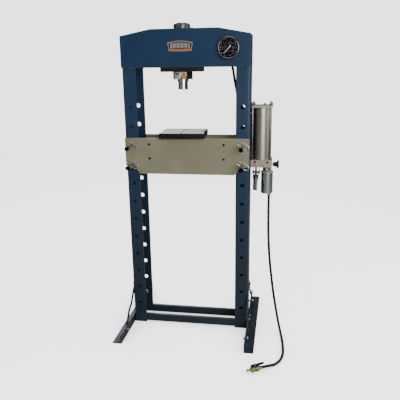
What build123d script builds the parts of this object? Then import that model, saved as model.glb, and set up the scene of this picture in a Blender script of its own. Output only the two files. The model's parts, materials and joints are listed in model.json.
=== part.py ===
from build123d import *
import math
import os

# Hydraulic shop press: an H frame with an air-over-oil pump on its right upright.
# Millimetres, +Z up, the operator stands on the -Y side. Pieces are drawn about the middle of
# the frame and moved by origin_shift, so that the origin is under the middle of the footprint.

os.makedirs("parts", exist_ok=True)

# ---- fits ------------------------------------------------------------------------------------
slip = 0.3            # radial gap of loose pins and bolts in their holes
running = 0.05        # radial gap of a running fit
seat = 0.1            # radial gap of pieces that are screwed or pushed together

# ---- frame -----------------------------------------------------------------------------------
frame_width = 650     # over the webs of the uprights
frame_depth = 150     # over their flanges
frame_height = 1568   # height of the uprights and of the ends of the head
flange_width = 70
channel_wall = 6
bend_radius = 8       # outer radius of the channel's bends
hole_pitch = 100      # of the bed pin holes
first_hole_z = 121
hole_count = 12
pin_radius = 11

head_plate = 12       # thickness
head_bottom_z = 1416
head_crown = 29       # rise of the middle of the head above its ends
head_crown_half = 168
foot_leg = 50         # angle iron under each upright
foot_wall = 6
foot_length = 660
foot_bolt_y = 25
foot_bolt_z = 28
rail_height = 42      # rectangular tubes between the uprights
rail_depth = 19
rail_wall = 2.5
rail_z = 5
brace_width = 25      # flat bars from the upright down to the foot
brace_thick = 4
brace_top_y = 40
brace_top_z = 225
brace_foot_y = 225
brace_foot_z = 25
brace_end = 13        # bar beyond each bolt
frame_bolt_r = 5
frame_bolt_hex = 17

# ---- bed -------------------------------------------------------------------------------------
bed_plate = 12
bed_hole = 8          # index of the hole that holds the lower pins
bed_rise = 144        # top of the bed above the lower pins
bed_end_drop = 3      # lower edge of the bed's ends below the lower pins
bed_belly_drop = 44   # lower edge of its middle
bed_belly_half = 250
bed_end_length = 45
spacer_x = 195
spacer_radius = 14
spacer_rises = (38, 112)
pin_front = 93        # pin in front of the bed's front plate
pin_back = 23         # pin behind the rear plate
clip_wire = 2.2
clip_stand = 18       # clip in front of the front plate
clip_tilt = 38        # degrees below level
clip_leg = 32
clip_bow = 25
clip_open = 16
arbor_width = 115
arbor_length = 228
arbor_thick = 28
arbor_gap = 1
arbor_turn = 3        # degrees: the loose plates lie a little askew
notch_half = 16

# ---- cylinder and ram ------------------------------------------------------------------------
ram_x = -25           # the cylinder stands off the middle of the head
barrel_radius = 50
barrel_bottom_z = 1357
bore_radius = 38
barrel_end_wall = 12
neck_radius = 30
upper_plate = 20
upper_plate_half = 90
lower_plate = 22
lower_plate_half = 98
ring_nut_radius = 42
ring_nut_height = 27
rod_radius = 25
rod_hollow = 15
gland_depth = 22
gland_radius = 44
gland_nose = 12
gland_nose_radius = 29
piston_height = 30
piston_rest_gap = 2
ram_showing = 39      # ram below the gland at rest
saddle_height = 16
seal_height = 8
spring_wire = 2
spring_radius = 11
spring_turns = 22
port_drop = 37        # oil port below the top of the barrel
port_radius = 4

# ---- gauge and badge -------------------------------------------------------------------------
gauge_x = 222
gauge_z = 1502
gauge_radius = 48
gauge_depth = 30
gauge_wall = 2.5
bezel_radius = 52
bezel_depth = 14
bezel_lip = 3.5
lens_thick = 2
dial_thick = 1.5
dial_back = 9         # dial below the rim of the case
needle_length = 37
needle_tail = 15
needle_angle = 228    # degrees anticlockwise from +X, seen from the front
stem_radius = 7
badge_x = -19
badge_z = 1490
badge_width = 128
badge_height = 51
badge_thick = 2

# ---- pump ------------------------------------------------------------------------------------
bracket_thick = 3
bracket_half = 50
pump_half = 54        # half the square cap
cap_z = 1216
cap_thick = 11
block_z = 915
block_height = 37
block_extra = 2       # block proud of the cap on each side but the frame's
reservoir_radius = 44
reservoir_wall = 3
rod_offset = 45       # tie rods from the pump's middle
tie_radius = 4.5
motor_dx = 32         # air motor from the pump's middle
motor_radius = 31
motor_wall = 3
motor_neck = 29       # height of the neck under the block
motor_neck_radius = 24
motor_flange = 6
motor_length = 109
motor_piston = 16
lever_dx = -26        # hand lever from the pump's middle
fulcrum_y = 24
fulcrum_drop = 39     # lever pivot below the block
plunger_radius = 6
plunger_top = 12       # end of the hand plunger above the underside of the block
plunger_stroke = 21
socket_radius = 12
socket_bore = 10
socket_length = 82
link_plate = 3
knob_stand = 37       # outer face of the release knob beyond the pump's block
knob_radius = 21
knob_rise = 8
valve_stem_radius = 5
valve_stem_depth = 14   # release stem inside the block
muffler_half = (14, 9.5)
muffler_core = (7, 5.5)

# ---- hoses -----------------------------------------------------------------------------------
oil_hose_radius = 6.5
air_hose_radius = 7
line_radius = 3

half_width = frame_width / 2
half_depth = frame_depth / 2
web_in = half_width - channel_wall
pin_x = half_width - flange_width / 2
foot_out = half_width + foot_leg
pump_right = half_width + bracket_thick + 2 * pump_half + block_extra
knob_reach = pump_right + knob_stand
origin_shift = -(knob_reach - foot_out) / 2
plate_front = half_depth + head_plate
lower_pin_z = first_hole_z + bed_hole * hole_pitch
upper_pin_z = lower_pin_z + hole_pitch
bed_top_z = lower_pin_z + bed_rise
bed_front = half_depth + bed_plate
head_top_z = frame_height + head_crown
barrel_top_z = head_top_z - upper_plate
X, Y, Z = (1, 0, 0), (0, 1, 0), (0, 0, 1)
FRONT, LEFT = (0, -1, 0), (-1, 0, 0)


# ---- helpers ---------------------------------------------------------------------------------
def save(name, *shapes, shift=origin_shift):
    """Write one node; its pieces stay separate solids inside it."""
    solids = [solid for shape in shapes for solid in shape.solids()]
    node = solids[0] if len(solids) == 1 else Compound(solids)
    export_step(node.moved(Location((shift, 0, 0))), f"parts/{name}.step")


def slab(x, y, z):
    """A box from three (low, high) spans."""
    size = [high - low for low, high in (x, y, z)]
    centre = [(high + low) / 2 for low, high in (x, y, z)]
    return Pos(*centre) * Box(*size)


def rod(radius, start, direction, length):
    plane = Plane(origin=start, z_dir=direction)
    return plane * Cylinder(radius, length, align=(Align.CENTER, Align.CENTER, Align.MIN))


def tube(outer, inner, start, direction, length):
    return rod(outer, start, direction, length) - rod(inner, start, direction, length)


def hex_bar(across, start, direction, length):
    plane = Plane(origin=start, z_dir=direction)
    return extrude(plane * RegularPolygon(across / 2, 6, major_radius=False), length)


def flat(outline, plane, thickness):
    """A plate cut to an outline of points on a plane."""
    return extrude(plane * Polygon(*outline, align=None), thickness)


def stepped(start, direction, *steps):
    """Turned piece: (radius, length) steps along a direction."""
    place = Vector(start)
    way = Vector(direction).normalized()
    piece = None
    for radius, length in steps:
        step = rod(radius, place, way, length)
        piece = step if piece is None else piece + step
        place = place + way * length
    return piece


def bolt(start, direction, grip, radius=frame_bolt_r, across=frame_bolt_hex):
    """Hex bolt with its head on start, and its nut at the end of the grip."""
    start, way = Vector(start), Vector(direction)
    head, nut = radius * 1.3, radius * 1.6
    screw = hex_bar(across, start - way * head, way, head) + rod(radius, start, way, grip + nut + 2)
    collar = hex_bar(across, start + way * grip, way, nut)
    return screw, collar - rod(radius + running, start, way, grip + nut + 2)


def wire(points, radius, radii):
    """Round bar or hose along straight runs joined by tangent arcs."""
    path = FilletPolyline(*points, radius=radii)
    section = Plane(origin=path @ 0, z_dir=path % 0) * Circle(radius)
    return sweep(section, path=path)


def widest_radii(points):
    """The largest arc that each corner's two runs allow."""
    radii = []
    for a, b, c in zip(points, points[1:], points[2:]):
        run_in, run_out = Vector(b) - Vector(a), Vector(c) - Vector(b)
        half_turn = math.radians(run_in.get_angle(run_out)) / 2
        radii.append(0.45 * min(run_in.length, run_out.length) / math.tan(half_turn))
    return radii


# ---- uprights --------------------------------------------------------------------------------
bracket_bolts = [(y, z) for y in (-35, 35) for z in (block_z + 75, cap_z - 26)]
elbow_z = lower_pin_z + 45
elbow_hole = 15


def upright(side):
    """Channel with its web outwards, drilled for pins and bolts."""
    outer = slab((half_width - flange_width, half_width), (-half_depth, half_depth), (0, frame_height))
    outer = fillet(outer.edges().filter_by(Axis.Z).group_by(Axis.X)[-1], bend_radius)
    inner = slab((0, web_in), (-half_depth + channel_wall, half_depth - channel_wall), (-1, frame_height + 1))
    inner = fillet(inner.edges().filter_by(Axis.Z).group_by(Axis.X)[-1], bend_radius - channel_wall)
    channel = outer - inner
    for index in range(hole_count):
        z = first_hole_z + index * hole_pitch
        channel -= rod(pin_radius + slip, (pin_x, -half_depth - 1, z), Y, frame_depth + 2)
    drilled = [(s * foot_bolt_y, foot_bolt_z, frame_bolt_r) for s in (-1, 1)]
    drilled += [(s * brace_top_y, brace_top_z, frame_bolt_r) for s in (-1, 1)]
    if side > 0:
        drilled += [(y, z, frame_bolt_r - 1) for y, z in bracket_bolts]
        drilled.append((0, elbow_z, elbow_hole - slip))
    for y, z, radius in drilled:
        channel -= rod(radius + slip, (web_in - 1, y, z), X, channel_wall + 2)
    return channel if side > 0 else mirror(channel, Plane.YZ)


def foot(side):
    """Angle iron whose upright leg is bolted to the web."""
    along = (-foot_length / 2, foot_length / 2)
    upright_leg = slab((half_width, half_width + foot_wall), along, (0, foot_leg))
    floor_leg = slab((half_width, foot_out), (-foot_length / 2, foot_length / 2), (0, foot_wall))
    angle = upright_leg + floor_leg
    foot_holes = [(s * foot_bolt_y, foot_bolt_z) for s in (-1, 1)]
    foot_holes += [(s * brace_foot_y, brace_foot_z) for s in (-1, 1)]
    for y, z in foot_holes:
        angle -= rod(frame_bolt_r + slip, (half_width - 1, y, z), X, foot_wall + 2)
    return angle if side > 0 else mirror(angle, Plane.YZ)


def brace(side, end):
    """Flat bar, joggled by the wall of the foot, bolted to the web above and to the foot below."""
    run_y, run_z = brace_foot_y - brace_top_y, brace_foot_z - brace_top_z
    span = math.hypot(run_y, run_z)
    bend_from, bend_to = span * 0.45, span * 0.6
    line = [(-brace_end, 0), (bend_from, 0), (bend_to, foot_wall), (span + brace_end, foot_wall)]
    back = [(s, x + brace_thick) for s, x in reversed(line)]
    along = (0, run_y / span, run_z / span)
    top = (half_width, brace_top_y, brace_top_z)
    plane = Plane(origin=top, x_dir=along, z_dir=Vector(X).cross(Vector(*along)) * -1)
    bar = extrude(plane * Polygon(*line, *back, align=None), brace_width / 2, both=True)
    for y, z in ((brace_top_y, brace_top_z), (brace_foot_y, brace_foot_z)):
        bar -= rod(frame_bolt_r + slip, (half_width - 1, y, z), X, foot_wall + brace_thick + 2)
    bar = bar if end > 0 else mirror(bar, Plane.XZ)
    return bar if side > 0 else mirror(bar, Plane.YZ)


def frame_bolts(side):
    """Bolts of one foot and its two braces, heads outwards."""
    pieces = []
    for end in (-1, 1):
        out = half_width + foot_wall
        pieces += bolt((out, end * foot_bolt_y, foot_bolt_z), LEFT, foot_wall + channel_wall)
        top = (half_width + brace_thick, end * brace_top_y, brace_top_z)
        pieces += bolt(top, LEFT, brace_thick + channel_wall)
        low = (out + brace_thick, end * brace_foot_y, brace_foot_z)
        pieces += bolt(low, LEFT, brace_thick + foot_wall)
    return pieces if side > 0 else [mirror(piece, Plane.YZ) for piece in pieces]


def rail(end):
    """Rectangular tube welded between the webs, clear of the bends of the channels."""
    low = half_depth - bend_radius - rail_depth
    outer = slab((-web_in, web_in), (low, low + rail_depth), (rail_z, rail_z + rail_height))
    core = slab((-web_in - 1, web_in + 1), (low + rail_wall, low + rail_depth - rail_wall),
                (rail_z + rail_wall, rail_z + rail_height - rail_wall))
    piece = outer - core
    return piece if end > 0 else mirror(piece, Plane.XZ)


ends = (-1, 1)
save("upright_left", upright(-1))
save("upright_right", upright(1))
save("feet", *[foot(side) for side in ends])
save("foot_braces", *[brace(side, end) for side in ends for end in ends])
save("frame_bolts", *[piece for side in ends for piece in frame_bolts(side)])
save("base_rails", *[rail(end) for end in ends])


# ---- head ------------------------------------------------------------------------------------
def head_outline():
    low, high = head_bottom_z, frame_height
    crown = head_top_z
    return [(-half_width, low), (half_width, low), (half_width, high), (head_crown_half, crown),
            (-head_crown_half, crown), (-half_width, high)]


front_face = Plane(origin=(0, -half_depth, 0), x_dir=X, z_dir=FRONT)
rear_face = Plane(origin=(0, half_depth + head_plate, 0), x_dir=X, z_dir=FRONT)
head_front = flat(head_outline(), front_face, head_plate)
head_front -= rod(stem_radius + slip, (gauge_x, -plate_front - 1, gauge_z), Y, head_plate + 2)
save("head_front_plate", head_front)
save("head_rear_plate", flat(head_outline(), rear_face, head_plate))

lower = slab((ram_x - lower_plate_half, ram_x + lower_plate_half), (-plate_front, plate_front),
             (head_bottom_z - lower_plate, head_bottom_z))
lower -= rod(barrel_radius + seat, (ram_x, 0, head_bottom_z - lower_plate - 1), Z, lower_plate + 2)
upper = slab((ram_x - upper_plate_half, ram_x + upper_plate_half), (-half_depth, half_depth),
             (barrel_top_z, head_top_z))
upper -= rod(neck_radius + seat, (ram_x, 0, barrel_top_z - 1), Z, upper_plate + 2)
save("cylinder_plates", lower, upper)

# ---- cylinder --------------------------------------------------------------------------------
bore_top_z = barrel_top_z - barrel_end_wall
gland_top_z = barrel_bottom_z + gland_depth
neck_height = upper_plate + ring_nut_height + 4
barrel = stepped((ram_x, 0, barrel_bottom_z), Z, (barrel_radius, barrel_top_z - barrel_bottom_z),
                 (neck_radius, neck_height))
barrel = chamfer(barrel.edges().group_by(Axis.Z)[-1], 2)
barrel -= rod(bore_radius, (ram_x, 0, gland_top_z - 1), Z, bore_top_z - gland_top_z + 1)
barrel -= rod(gland_radius + seat, (ram_x, 0, barrel_bottom_z - 1), Z, gland_depth + 1)
port_z = barrel_top_z - port_drop
barrel -= rod(port_radius, (ram_x, 0, port_z), X, barrel_radius + 1)
line_y, line_z = -30, gauge_z
barrel -= rod(line_radius, (ram_x, line_y, line_z), X, barrel_radius)
save("cylinder_barrel", barrel)

gland = stepped((ram_x, 0, barrel_bottom_z - gland_nose), Z, (gland_nose_radius, gland_nose),
                (gland_radius, gland_depth))
seal_z = barrel_bottom_z + gland_depth / 2 - seal_height / 2
nose_low = (ram_x, 0, barrel_bottom_z - gland_nose - 1)
gland -= rod(rod_radius + running, nose_low, Z, gland_nose + gland_depth + 2)
gland -= tube(rod_radius + 5, rod_radius, (ram_x, 0, seal_z), Z, seal_height)
rod_seal = tube(rod_radius + 4.9, rod_radius + running, (ram_x, 0, seal_z + seat), Z, seal_height - 2 * seat)
save("rod_gland", gland, rod_seal)

nut = rod(ring_nut_radius, (ram_x, 0, head_top_z), Z, ring_nut_height)
nut = chamfer(nut.edges().filter_by(GeomType.CIRCLE), 3)
nut -= rod(neck_radius + seat, (ram_x, 0, head_top_z - 1), Z, ring_nut_height + 2)
for index in range(6):
    cut = Pos(ring_nut_radius, 0, head_top_z + ring_nut_height / 2) * Box(8, 10, ring_nut_height + 2)
    nut -= Pos(ram_x, 0, 0) * (Rot(0, 0, 30 + index * 60) * cut)
save("ring_nut", nut, hex_bar(12, (ram_x + ring_nut_radius + 8, 0, head_top_z), Z, 9))

# ---- ram -------------------------------------------------------------------------------------
piston_top_z = bore_top_z - piston_rest_gap
piston_z = piston_top_z - piston_height
nose_z = barrel_bottom_z - gland_nose - ram_showing
groove_z = piston_z + piston_height / 2 - seal_height / 2
piston = tube(bore_radius - running, rod_hollow, (ram_x, 0, piston_z), Z, piston_height)
piston -= tube(bore_radius + 1, bore_radius - 5, (ram_x, 0, groove_z), Z, seal_height)
seal_low = (ram_x, 0, groove_z + seat)
piston_seal = tube(bore_radius - running, bore_radius - 4.9, seal_low, Z, seal_height - 2 * seat)
save("ram_piston", piston, piston_seal)
rod_floor = 14
ram_rod = rod(rod_radius, (ram_x, 0, nose_z + saddle_height), Z, piston_z - nose_z - saddle_height)
save("ram_rod", ram_rod - rod(rod_hollow, (ram_x, 0, nose_z + saddle_height + rod_floor), Z, piston_z))
saddle = chamfer(rod(rod_radius, (ram_x, 0, nose_z), Z, saddle_height).edges().group_by(Axis.Z)[0], 2.5)
save("ram_saddle", saddle)
spring_z = nose_z + saddle_height + rod_floor
coil_height = bore_top_z - spring_z - 2 * spring_wire
coil_low = (ram_x, 0, spring_z + spring_wire)
coil = Helix(coil_height / spring_turns, coil_height, spring_radius, center=coil_low)
save("ram_return_spring", sweep(Plane(origin=coil @ 0, z_dir=coil % 0) * Circle(spring_wire), path=coil))

# ---- gauge -----------------------------------------------------------------------------------
rim_y = -plate_front - gauge_depth
case = tube(gauge_radius, gauge_radius - gauge_wall, (gauge_x, rim_y, gauge_z), Y, gauge_depth)
case += tube(gauge_radius, stem_radius + seat, (gauge_x, -plate_front - 3, gauge_z), Y, 3)
save("gauge_case", case)
bezel = tube(bezel_radius, gauge_radius + seat, (gauge_x, rim_y - lens_thick, gauge_z), Y, bezel_depth)
lip_low = (gauge_x, rim_y - lens_thick - bezel_lip, gauge_z)
bezel += tube(bezel_radius, bezel_radius - 2 * bezel_lip, lip_low, Y, bezel_lip)
bezel = chamfer(bezel.edges().filter_by(GeomType.CIRCLE).group_by(Axis.Y)[0].sort_by(SortBy.RADIUS)[-1], 2.5)
save("gauge_bezel", bezel)
save("gauge_lens", rod(gauge_radius, (gauge_x, rim_y, gauge_z), FRONT, lens_thick))
dial_y = rim_y + dial_back
dial = tube(gauge_radius - gauge_wall - seat, 3, (gauge_x, dial_y, gauge_z), Y, dial_thick)
save("gauge_dial", dial)
face = Plane(origin=(gauge_x, dial_y - 3, gauge_z), x_dir=X, z_dir=FRONT)
blade_corners = [(needle_length, 0), (0, 2.2), (-needle_tail, 1.4), (-needle_tail, -1.4), (0, -2.2)]
blade = Polygon(*blade_corners, align=None)
disc = Pos(-needle_tail, 0) * Circle(3.5)
needle = extrude(face * (Rot(0, 0, needle_angle) * (blade + disc)), 1)
needle += rod(4.5, (gauge_x, dial_y - 2, gauge_z), FRONT, 3)
needle += rod(1.5, (gauge_x, dial_y - 2, gauge_z), Y, 17)
save("gauge_needle", needle)
movement_y = dial_y + dial_thick
tube_path = CenterArc((0, 0, 0), 28, -80, 250)
coiled = sweep(Plane(origin=tube_path @ 0, z_dir=tube_path % 0) * Circle(3), path=tube_path)
movement = Plane(origin=(gauge_x, movement_y + 7, gauge_z), x_dir=X, z_dir=FRONT) * coiled
movement += slab((gauge_x - 8, gauge_x + 8), (movement_y, -plate_front - 3), (gauge_z - 33, gauge_z - 4))
movement += slab((gauge_x - 8, gauge_x + 8), (movement_y + 8.5, -plate_front - 3), (gauge_z - 5, gauge_z + 9))
save("gauge_bourdon_tube", movement - rod(1.5 + running, (gauge_x, movement_y + 8, gauge_z), Y, 9))
stem_in = 22
stem = rod(stem_radius, (gauge_x, -plate_front - 3, gauge_z), Y, 3 + head_plate + stem_in)
stem_nut = hex_bar(24, (gauge_x, -half_depth, gauge_z), Y, 8)
save("gauge_stem", stem, stem_nut - rod(stem_radius + seat, (gauge_x, -half_depth - 1, gauge_z), Y, 10))
line_start = ram_x + barrel_radius - 4
line_fitting = hex_bar(14, (line_start + 3, line_y, line_z), X, 19)
line_fitting -= rod(line_radius + seat, (line_start, line_y, line_z), X, 30)
bend = 14
line_points = [(line_start + 6, line_y, line_z), (gauge_x, line_y, line_z)]
line_points.append((gauge_x, -half_depth + stem_in, line_z))
save("gauge_line", wire(line_points, line_radius, bend), line_fitting)

# ---- badge ------------------------------------------------------------------------------------
badge_face = Plane(origin=(badge_x, -plate_front, badge_z), x_dir=X, z_dir=FRONT)


def arched(inset):
    """A plate outline with a flat foot and an arched top, set in all round."""
    half, low, side_top = badge_width / 2 - inset, inset, badge_height * 0.6
    outline = Polyline((-half, side_top), (-half, low), (half, low), (half, side_top))
    top = ThreePointArc((half, side_top), (0, badge_height - inset), (-half, side_top))
    return make_face(outline + top)


plate = extrude(badge_face * arched(0), badge_thick)
save("badge", plate - extrude(badge_face.offset(badge_thick - 1) * arched(4), 2))

# ---- bed -------------------------------------------------------------------------------------
belly_z, end_z = lower_pin_z - bed_belly_drop, lower_pin_z - bed_end_drop
bed_shoulder = half_width - bed_end_length
bed_half = [(bed_belly_half, belly_z), (bed_shoulder, end_z), (half_width, end_z), (half_width, bed_top_z)]
bed_outline = bed_half + [(-x, z) for x, z in reversed(bed_half)]
spacer_places = [(s * spacer_x, lower_pin_z + rise) for s in (-1, 1) for rise in spacer_rises]


def bed_side(plane, y):
    plate = flat(bed_outline, plane, bed_plate)
    for s in (-1, 1):
        for z in (lower_pin_z, upper_pin_z):
            plate -= rod(pin_radius + slip, (s * pin_x, y - 1, z), Y, bed_plate + 2)
    for x, z in spacer_places:
        plate -= rod(4 + slip, (x, y - 1, z), Y, bed_plate + 2)
    return plate


save("bed_front_plate", bed_side(front_face, -bed_front))
save("bed_rear_plate", bed_side(Plane(origin=(0, bed_front, 0), x_dir=X, z_dir=FRONT), half_depth))
spacers = [tube(spacer_radius, 4 + seat, (x, -half_depth, z), Y, frame_depth) for x, z in spacer_places]
for x, z in spacer_places:
    for start, way in (((x, -bed_front, z), Y), ((x, bed_front, z), FRONT)):
        screw = rod(4, start, way, bed_plate + 20) + rod(6, start, Vector(way) * -1, 3)
        spacers.append(screw - hex_bar(4, Vector(start) - Vector(way) * 3, way, 2))
save("bed_spacers", *spacers)

# ---- bed pins and their clips ----------------------------------------------------------------
tilt = math.radians(clip_tilt)
leg_way = (math.cos(tilt), 0, -math.sin(tilt))
clip_y = -bed_front - clip_stand


def bed_pin(x, z):
    pin = rod(pin_radius, (x, -bed_front - pin_front, z), Y, pin_front + 2 * bed_front + pin_back)
    pin = chamfer(pin.edges().filter_by(GeomType.CIRCLE), 2)
    hole_start = Vector(x, clip_y, z) - Vector(leg_way) * (pin_radius + 2)
    return pin - rod(clip_wire + slip, hole_start, leg_way, 2 * pin_radius + 4)


def pin_clip(x, z):
    """Spring wire: a straight leg through the pin and a bowed one beside it."""
    plane = Plane(origin=(x, clip_y, z), x_dir=leg_way, z_dir=FRONT)
    corners = [(-clip_leg, 0), (clip_leg, 0), (clip_leg, clip_bow)]
    corners += [(-clip_leg / 3, clip_bow), (-clip_leg, clip_open)]
    points = [plane.from_local_coords(Vector(u, v, 0)) for u, v in corners]
    return wire(points, clip_wire, [9, 9, 12])


for side, word in ((-1, "left"), (1, "right")):
    for z, level in ((lower_pin_z, "lower"), (upper_pin_z, "upper")):
        save(f"bed_pin_{word}_{level}", bed_pin(side * pin_x, z))
        save(f"pin_clip_{word}_{level}", pin_clip(side * pin_x, z))

# ---- arbor plates ----------------------------------------------------------------------------
for side, word in ((-1, "left"), (1, "right")):
    near = side * arbor_gap / 2
    far = near + side * arbor_width
    plate = slab(sorted((near, far)), (-arbor_length / 2, arbor_length / 2), (0, arbor_thick))
    plate = chamfer(plate.edges(), 1.2)
    square = Pos(far, 0) * Rectangle(notch_half * 2, notch_half * 2, rotation=45)
    notch = extrude(square, arbor_thick)
    plate = Pos(ram_x, -3, bed_top_z) * (Rot(0, 0, arbor_turn) * (plate - notch))
    save(f"arbor_plate_{word}", plate)

# ---- pump body -------------------------------------------------------------------------------
pump_x = half_width + bracket_thick + pump_half
block_front = pump_half + block_extra
block_top_z = block_z + block_height
cap_top_z = cap_z + cap_thick
bracket = slab((half_width, half_width + bracket_thick), (-bracket_half, bracket_half), (block_z, cap_top_z))
for y, z in bracket_bolts:
    bracket -= rod(frame_bolt_r - 1 + slip, (half_width - 1, y, z), X, bracket_thick + 2)
bracket -= rod(elbow_hole, (half_width - 1, 0, elbow_z), X, bracket_thick + 2)
save("pump_bracket", bracket)
pump_bolts = []
for y, z in bracket_bolts:
    grip = channel_wall + bracket_thick
    pump_bolts += bolt((web_in, y, z), X, grip, radius=frame_bolt_r - 1, across=13)
tie_places = [(pump_x + sx * rod_offset, sy * rod_offset) for sx in (-1, 1) for sy in (-1, 1)]

cap = slab((pump_x - pump_half, pump_x + pump_half), (-pump_half, pump_half), (cap_z, cap_top_z))
cap = fillet(cap.edges().filter_by(Axis.Z), 9)
cap = chamfer(cap.edges().group_by(Axis.Z)[-1], 1.5)
body = slab((pump_x - pump_half, pump_right), (-block_front, block_front), (block_z, block_top_z))
body = fillet(body.edges().filter_by(Axis.Z), 4)
for x, y in tie_places:
    cap -= rod(tie_radius + slip, (x, y, cap_z - 1), Z, cap_thick + 2)
    body -= rod(tie_radius + seat, (x, y, block_z + 10), Z, block_height)
lever_x, motor_x = pump_x + lever_dx, pump_x + motor_dx
knob_z = block_z + knob_rise
body -= rod(plunger_radius + running, (lever_x, 0, block_z - 1), Z, plunger_top + plunger_stroke + 1)
body -= rod(plunger_radius + running, (motor_x, 0, block_z - 1), Z, 24)
stem_end = pump_right - valve_stem_depth
body -= rod(valve_stem_radius + running, (stem_end - 1, 0, knob_z), X, valve_stem_depth + 2)
save("reservoir_cap", cap, stepped((pump_x + 14, 12, cap_top_z), Z, (9, 4), (6.5, 5)))
save("pump_block", body)
save("reservoir_tube", tube(reservoir_radius, reservoir_radius - reservoir_wall, (pump_x, 0, block_top_z), Z,
                            cap_z - block_top_z))
tie_bottom, tie_over = block_z + 12, 12
ties = [rod(tie_radius, (x, y, tie_bottom), Z, cap_top_z + tie_over - tie_bottom) for x, y in tie_places]
for x, y in tie_places:
    acorn = hex_bar(15, (x, y, cap_top_z), Z, 9) + rod(6.4, (x, y, cap_top_z + 9), Z, 7)
    acorn = fillet(acorn.edges().group_by(Axis.Z)[-1], 4)
    ties.append(acorn - rod(tie_radius + seat, (x, y, cap_top_z - 1), Z, tie_over + 2))
save("tie_rods", *ties)

plug_places = [(pump_x - 29, block_top_z - 9), (pump_x + 34, block_top_z - 10)]
save("block_plugs", *[stepped((x, -block_front, z), FRONT, (6, 3), (4, 2)) for x, z in plug_places])
screw_places = [(pump_x - 29, block_z + 11), (pump_x + 8, block_z + 12)]
pump_bolts += [rod(5, (x, -block_front, z), FRONT, 4) - hex_bar(5, (x, -block_front - 4, z), Y, 3)
               for x, z in screw_places]
save("pump_bolts", *pump_bolts)

# ---- release valve ---------------------------------------------------------------------------
knob_face = pump_right + 6
knob = rod(knob_radius - 8, (knob_face, 0, knob_z), X, knob_reach - 11 - knob_face)
knob += rod(knob_radius, (knob_reach - 11, 0, knob_z), X, 11)
for index in range(8):
    groove = rod(3.5, (knob_reach - 12, knob_radius + 1.2, 0), X, 14)
    knob -= Pos(0, 0, knob_z) * (Rot(index * 45, 0, 0) * groove)
stem_length = knob_face - stem_end
save("release_knob", knob, rod(valve_stem_radius, (stem_end, 0, knob_z), X, stem_length))

# ---- air motor -------------------------------------------------------------------------------
neck_z = block_z - motor_neck
motor_top_z = neck_z - motor_flange
motor_z = motor_top_z - motor_length
neck_steps = [(motor_radius + 2, motor_flange), (motor_neck_radius, motor_neck)]
neck = stepped((motor_x, 0, motor_top_z), Z, *neck_steps)
neck_bore = rod(plunger_radius + running, (motor_x, 0, motor_top_z - 1), Z, motor_flange + motor_neck + 2)
save("motor_neck", neck - neck_bore)
motor = rod(motor_radius, (motor_x, 0, motor_z), Z, motor_length)
motor -= rod(motor_radius - motor_wall, (motor_x, 0, motor_z + 6), Z, motor_length)
inlet_x = motor_x + 12
motor -= rod(4, (inlet_x, 0, motor_z - 1), Z, 8)
save("motor_cylinder", motor)
muffler_face = Plane(origin=(motor_x, 0, block_z - 14), x_dir=X, z_dir=FRONT)
muffler = extrude(muffler_face * (Ellipse(*muffler_half) - Ellipse(*muffler_core)), motor_neck_radius + 9.5)
muffler -= rod(motor_neck_radius, (motor_x, 0, neck_z - 1), Z, motor_neck + 2)
core_front = muffler_face.offset(motor_neck_radius + 0.1)
core = extrude(core_front * Ellipse(muffler_core[0] - seat, muffler_core[1] - seat), 8)
save("exhaust_muffler", muffler, core)
air_stroke = 30
piston_low = motor_top_z - 10 - motor_piston - air_stroke - 20
disc_radius = motor_radius - motor_wall - running
air_disc = tube(disc_radius, plunger_radius + running, (motor_x, 0, piston_low), Z, motor_piston)
save("air_piston", air_disc, rod(plunger_radius, (motor_x, 0, piston_low), Z, block_z - 12 - piston_low))
return_z = piston_low + motor_piston
air_coil_height = motor_top_z - return_z - 3
air_coil = Helix(air_coil_height / 7, air_coil_height, 15, center=(motor_x, 0, return_z + 1.5))
save("air_return_spring", sweep(Plane(origin=air_coil @ 0, z_dir=air_coil % 0) * Circle(1.5), path=air_coil))

# ---- hand lever ------------------------------------------------------------------------------
fulcrum_z = block_z - fulcrum_drop
ear_in = socket_radius + link_plate + slip
ear_out = ear_in + link_plate
lever_side = Plane(origin=(lever_x, 0, 0), x_dir=Y, z_dir=X)
ears = slab((lever_x - ear_out, lever_x + ear_out), (fulcrum_y - 10, fulcrum_y + 14), (block_z - 4, block_z))
for s in (-1, 1):
    span = sorted((lever_x + s * ear_in, lever_x + s * ear_out))
    ear = slab(span, (fulcrum_y - 10, fulcrum_y + 10), (fulcrum_z, block_z - 4))
    ears += ear + rod(10, (span[0], fulcrum_y, fulcrum_z), X, link_plate)
ears -= rod(4 + running, (lever_x - ear_out - 1, fulcrum_y, fulcrum_z), X, 2 * ear_out + 2)
fulcrum_pin = stepped((lever_x - ear_out - 3, fulcrum_y, fulcrum_z), X, (6.5, 3), (4, 2 * ear_out), (6.5, 3))
save("fulcrum_bracket", ears, fulcrum_pin)

socket_way = (0, -0.574, -0.819)
socket_root = (lever_x, -20, fulcrum_z - 8)
plate_outline = [(34, 10), (10, 12), (-18, 12), (-31, 2), (-38, -23), (-24, -30)]
plate_outline += [(-12, -14), (20, -12), (34, -10)]
plate_outline = [(y, fulcrum_z + z) for y, z in plate_outline]
side_plates = flat(plate_outline, lever_side.offset(socket_radius), link_plate)
side_plates += flat(plate_outline, lever_side.offset(-socket_radius - link_plate), link_plate)
socket = side_plates + rod(socket_radius + 0.2, socket_root, socket_way, socket_length)
socket -= rod(socket_bore, Vector(socket_root) + Vector(socket_way) * 8, socket_way, socket_length)
socket -= rod(4 + running, (lever_x - 40, fulcrum_y, fulcrum_z), X, 80)
slot_low, slot_high = fulcrum_y - 35.5, fulcrum_y - 19.5
socket -= slab((lever_x - 20, lever_x + 20), (slot_low, slot_high), (fulcrum_z - 5, fulcrum_z + 5))
save("handle_socket", socket)
plunger = rod(plunger_radius, (lever_x, 0, fulcrum_z - 7), Z, block_z + plunger_top - fulcrum_z + 7)
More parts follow.
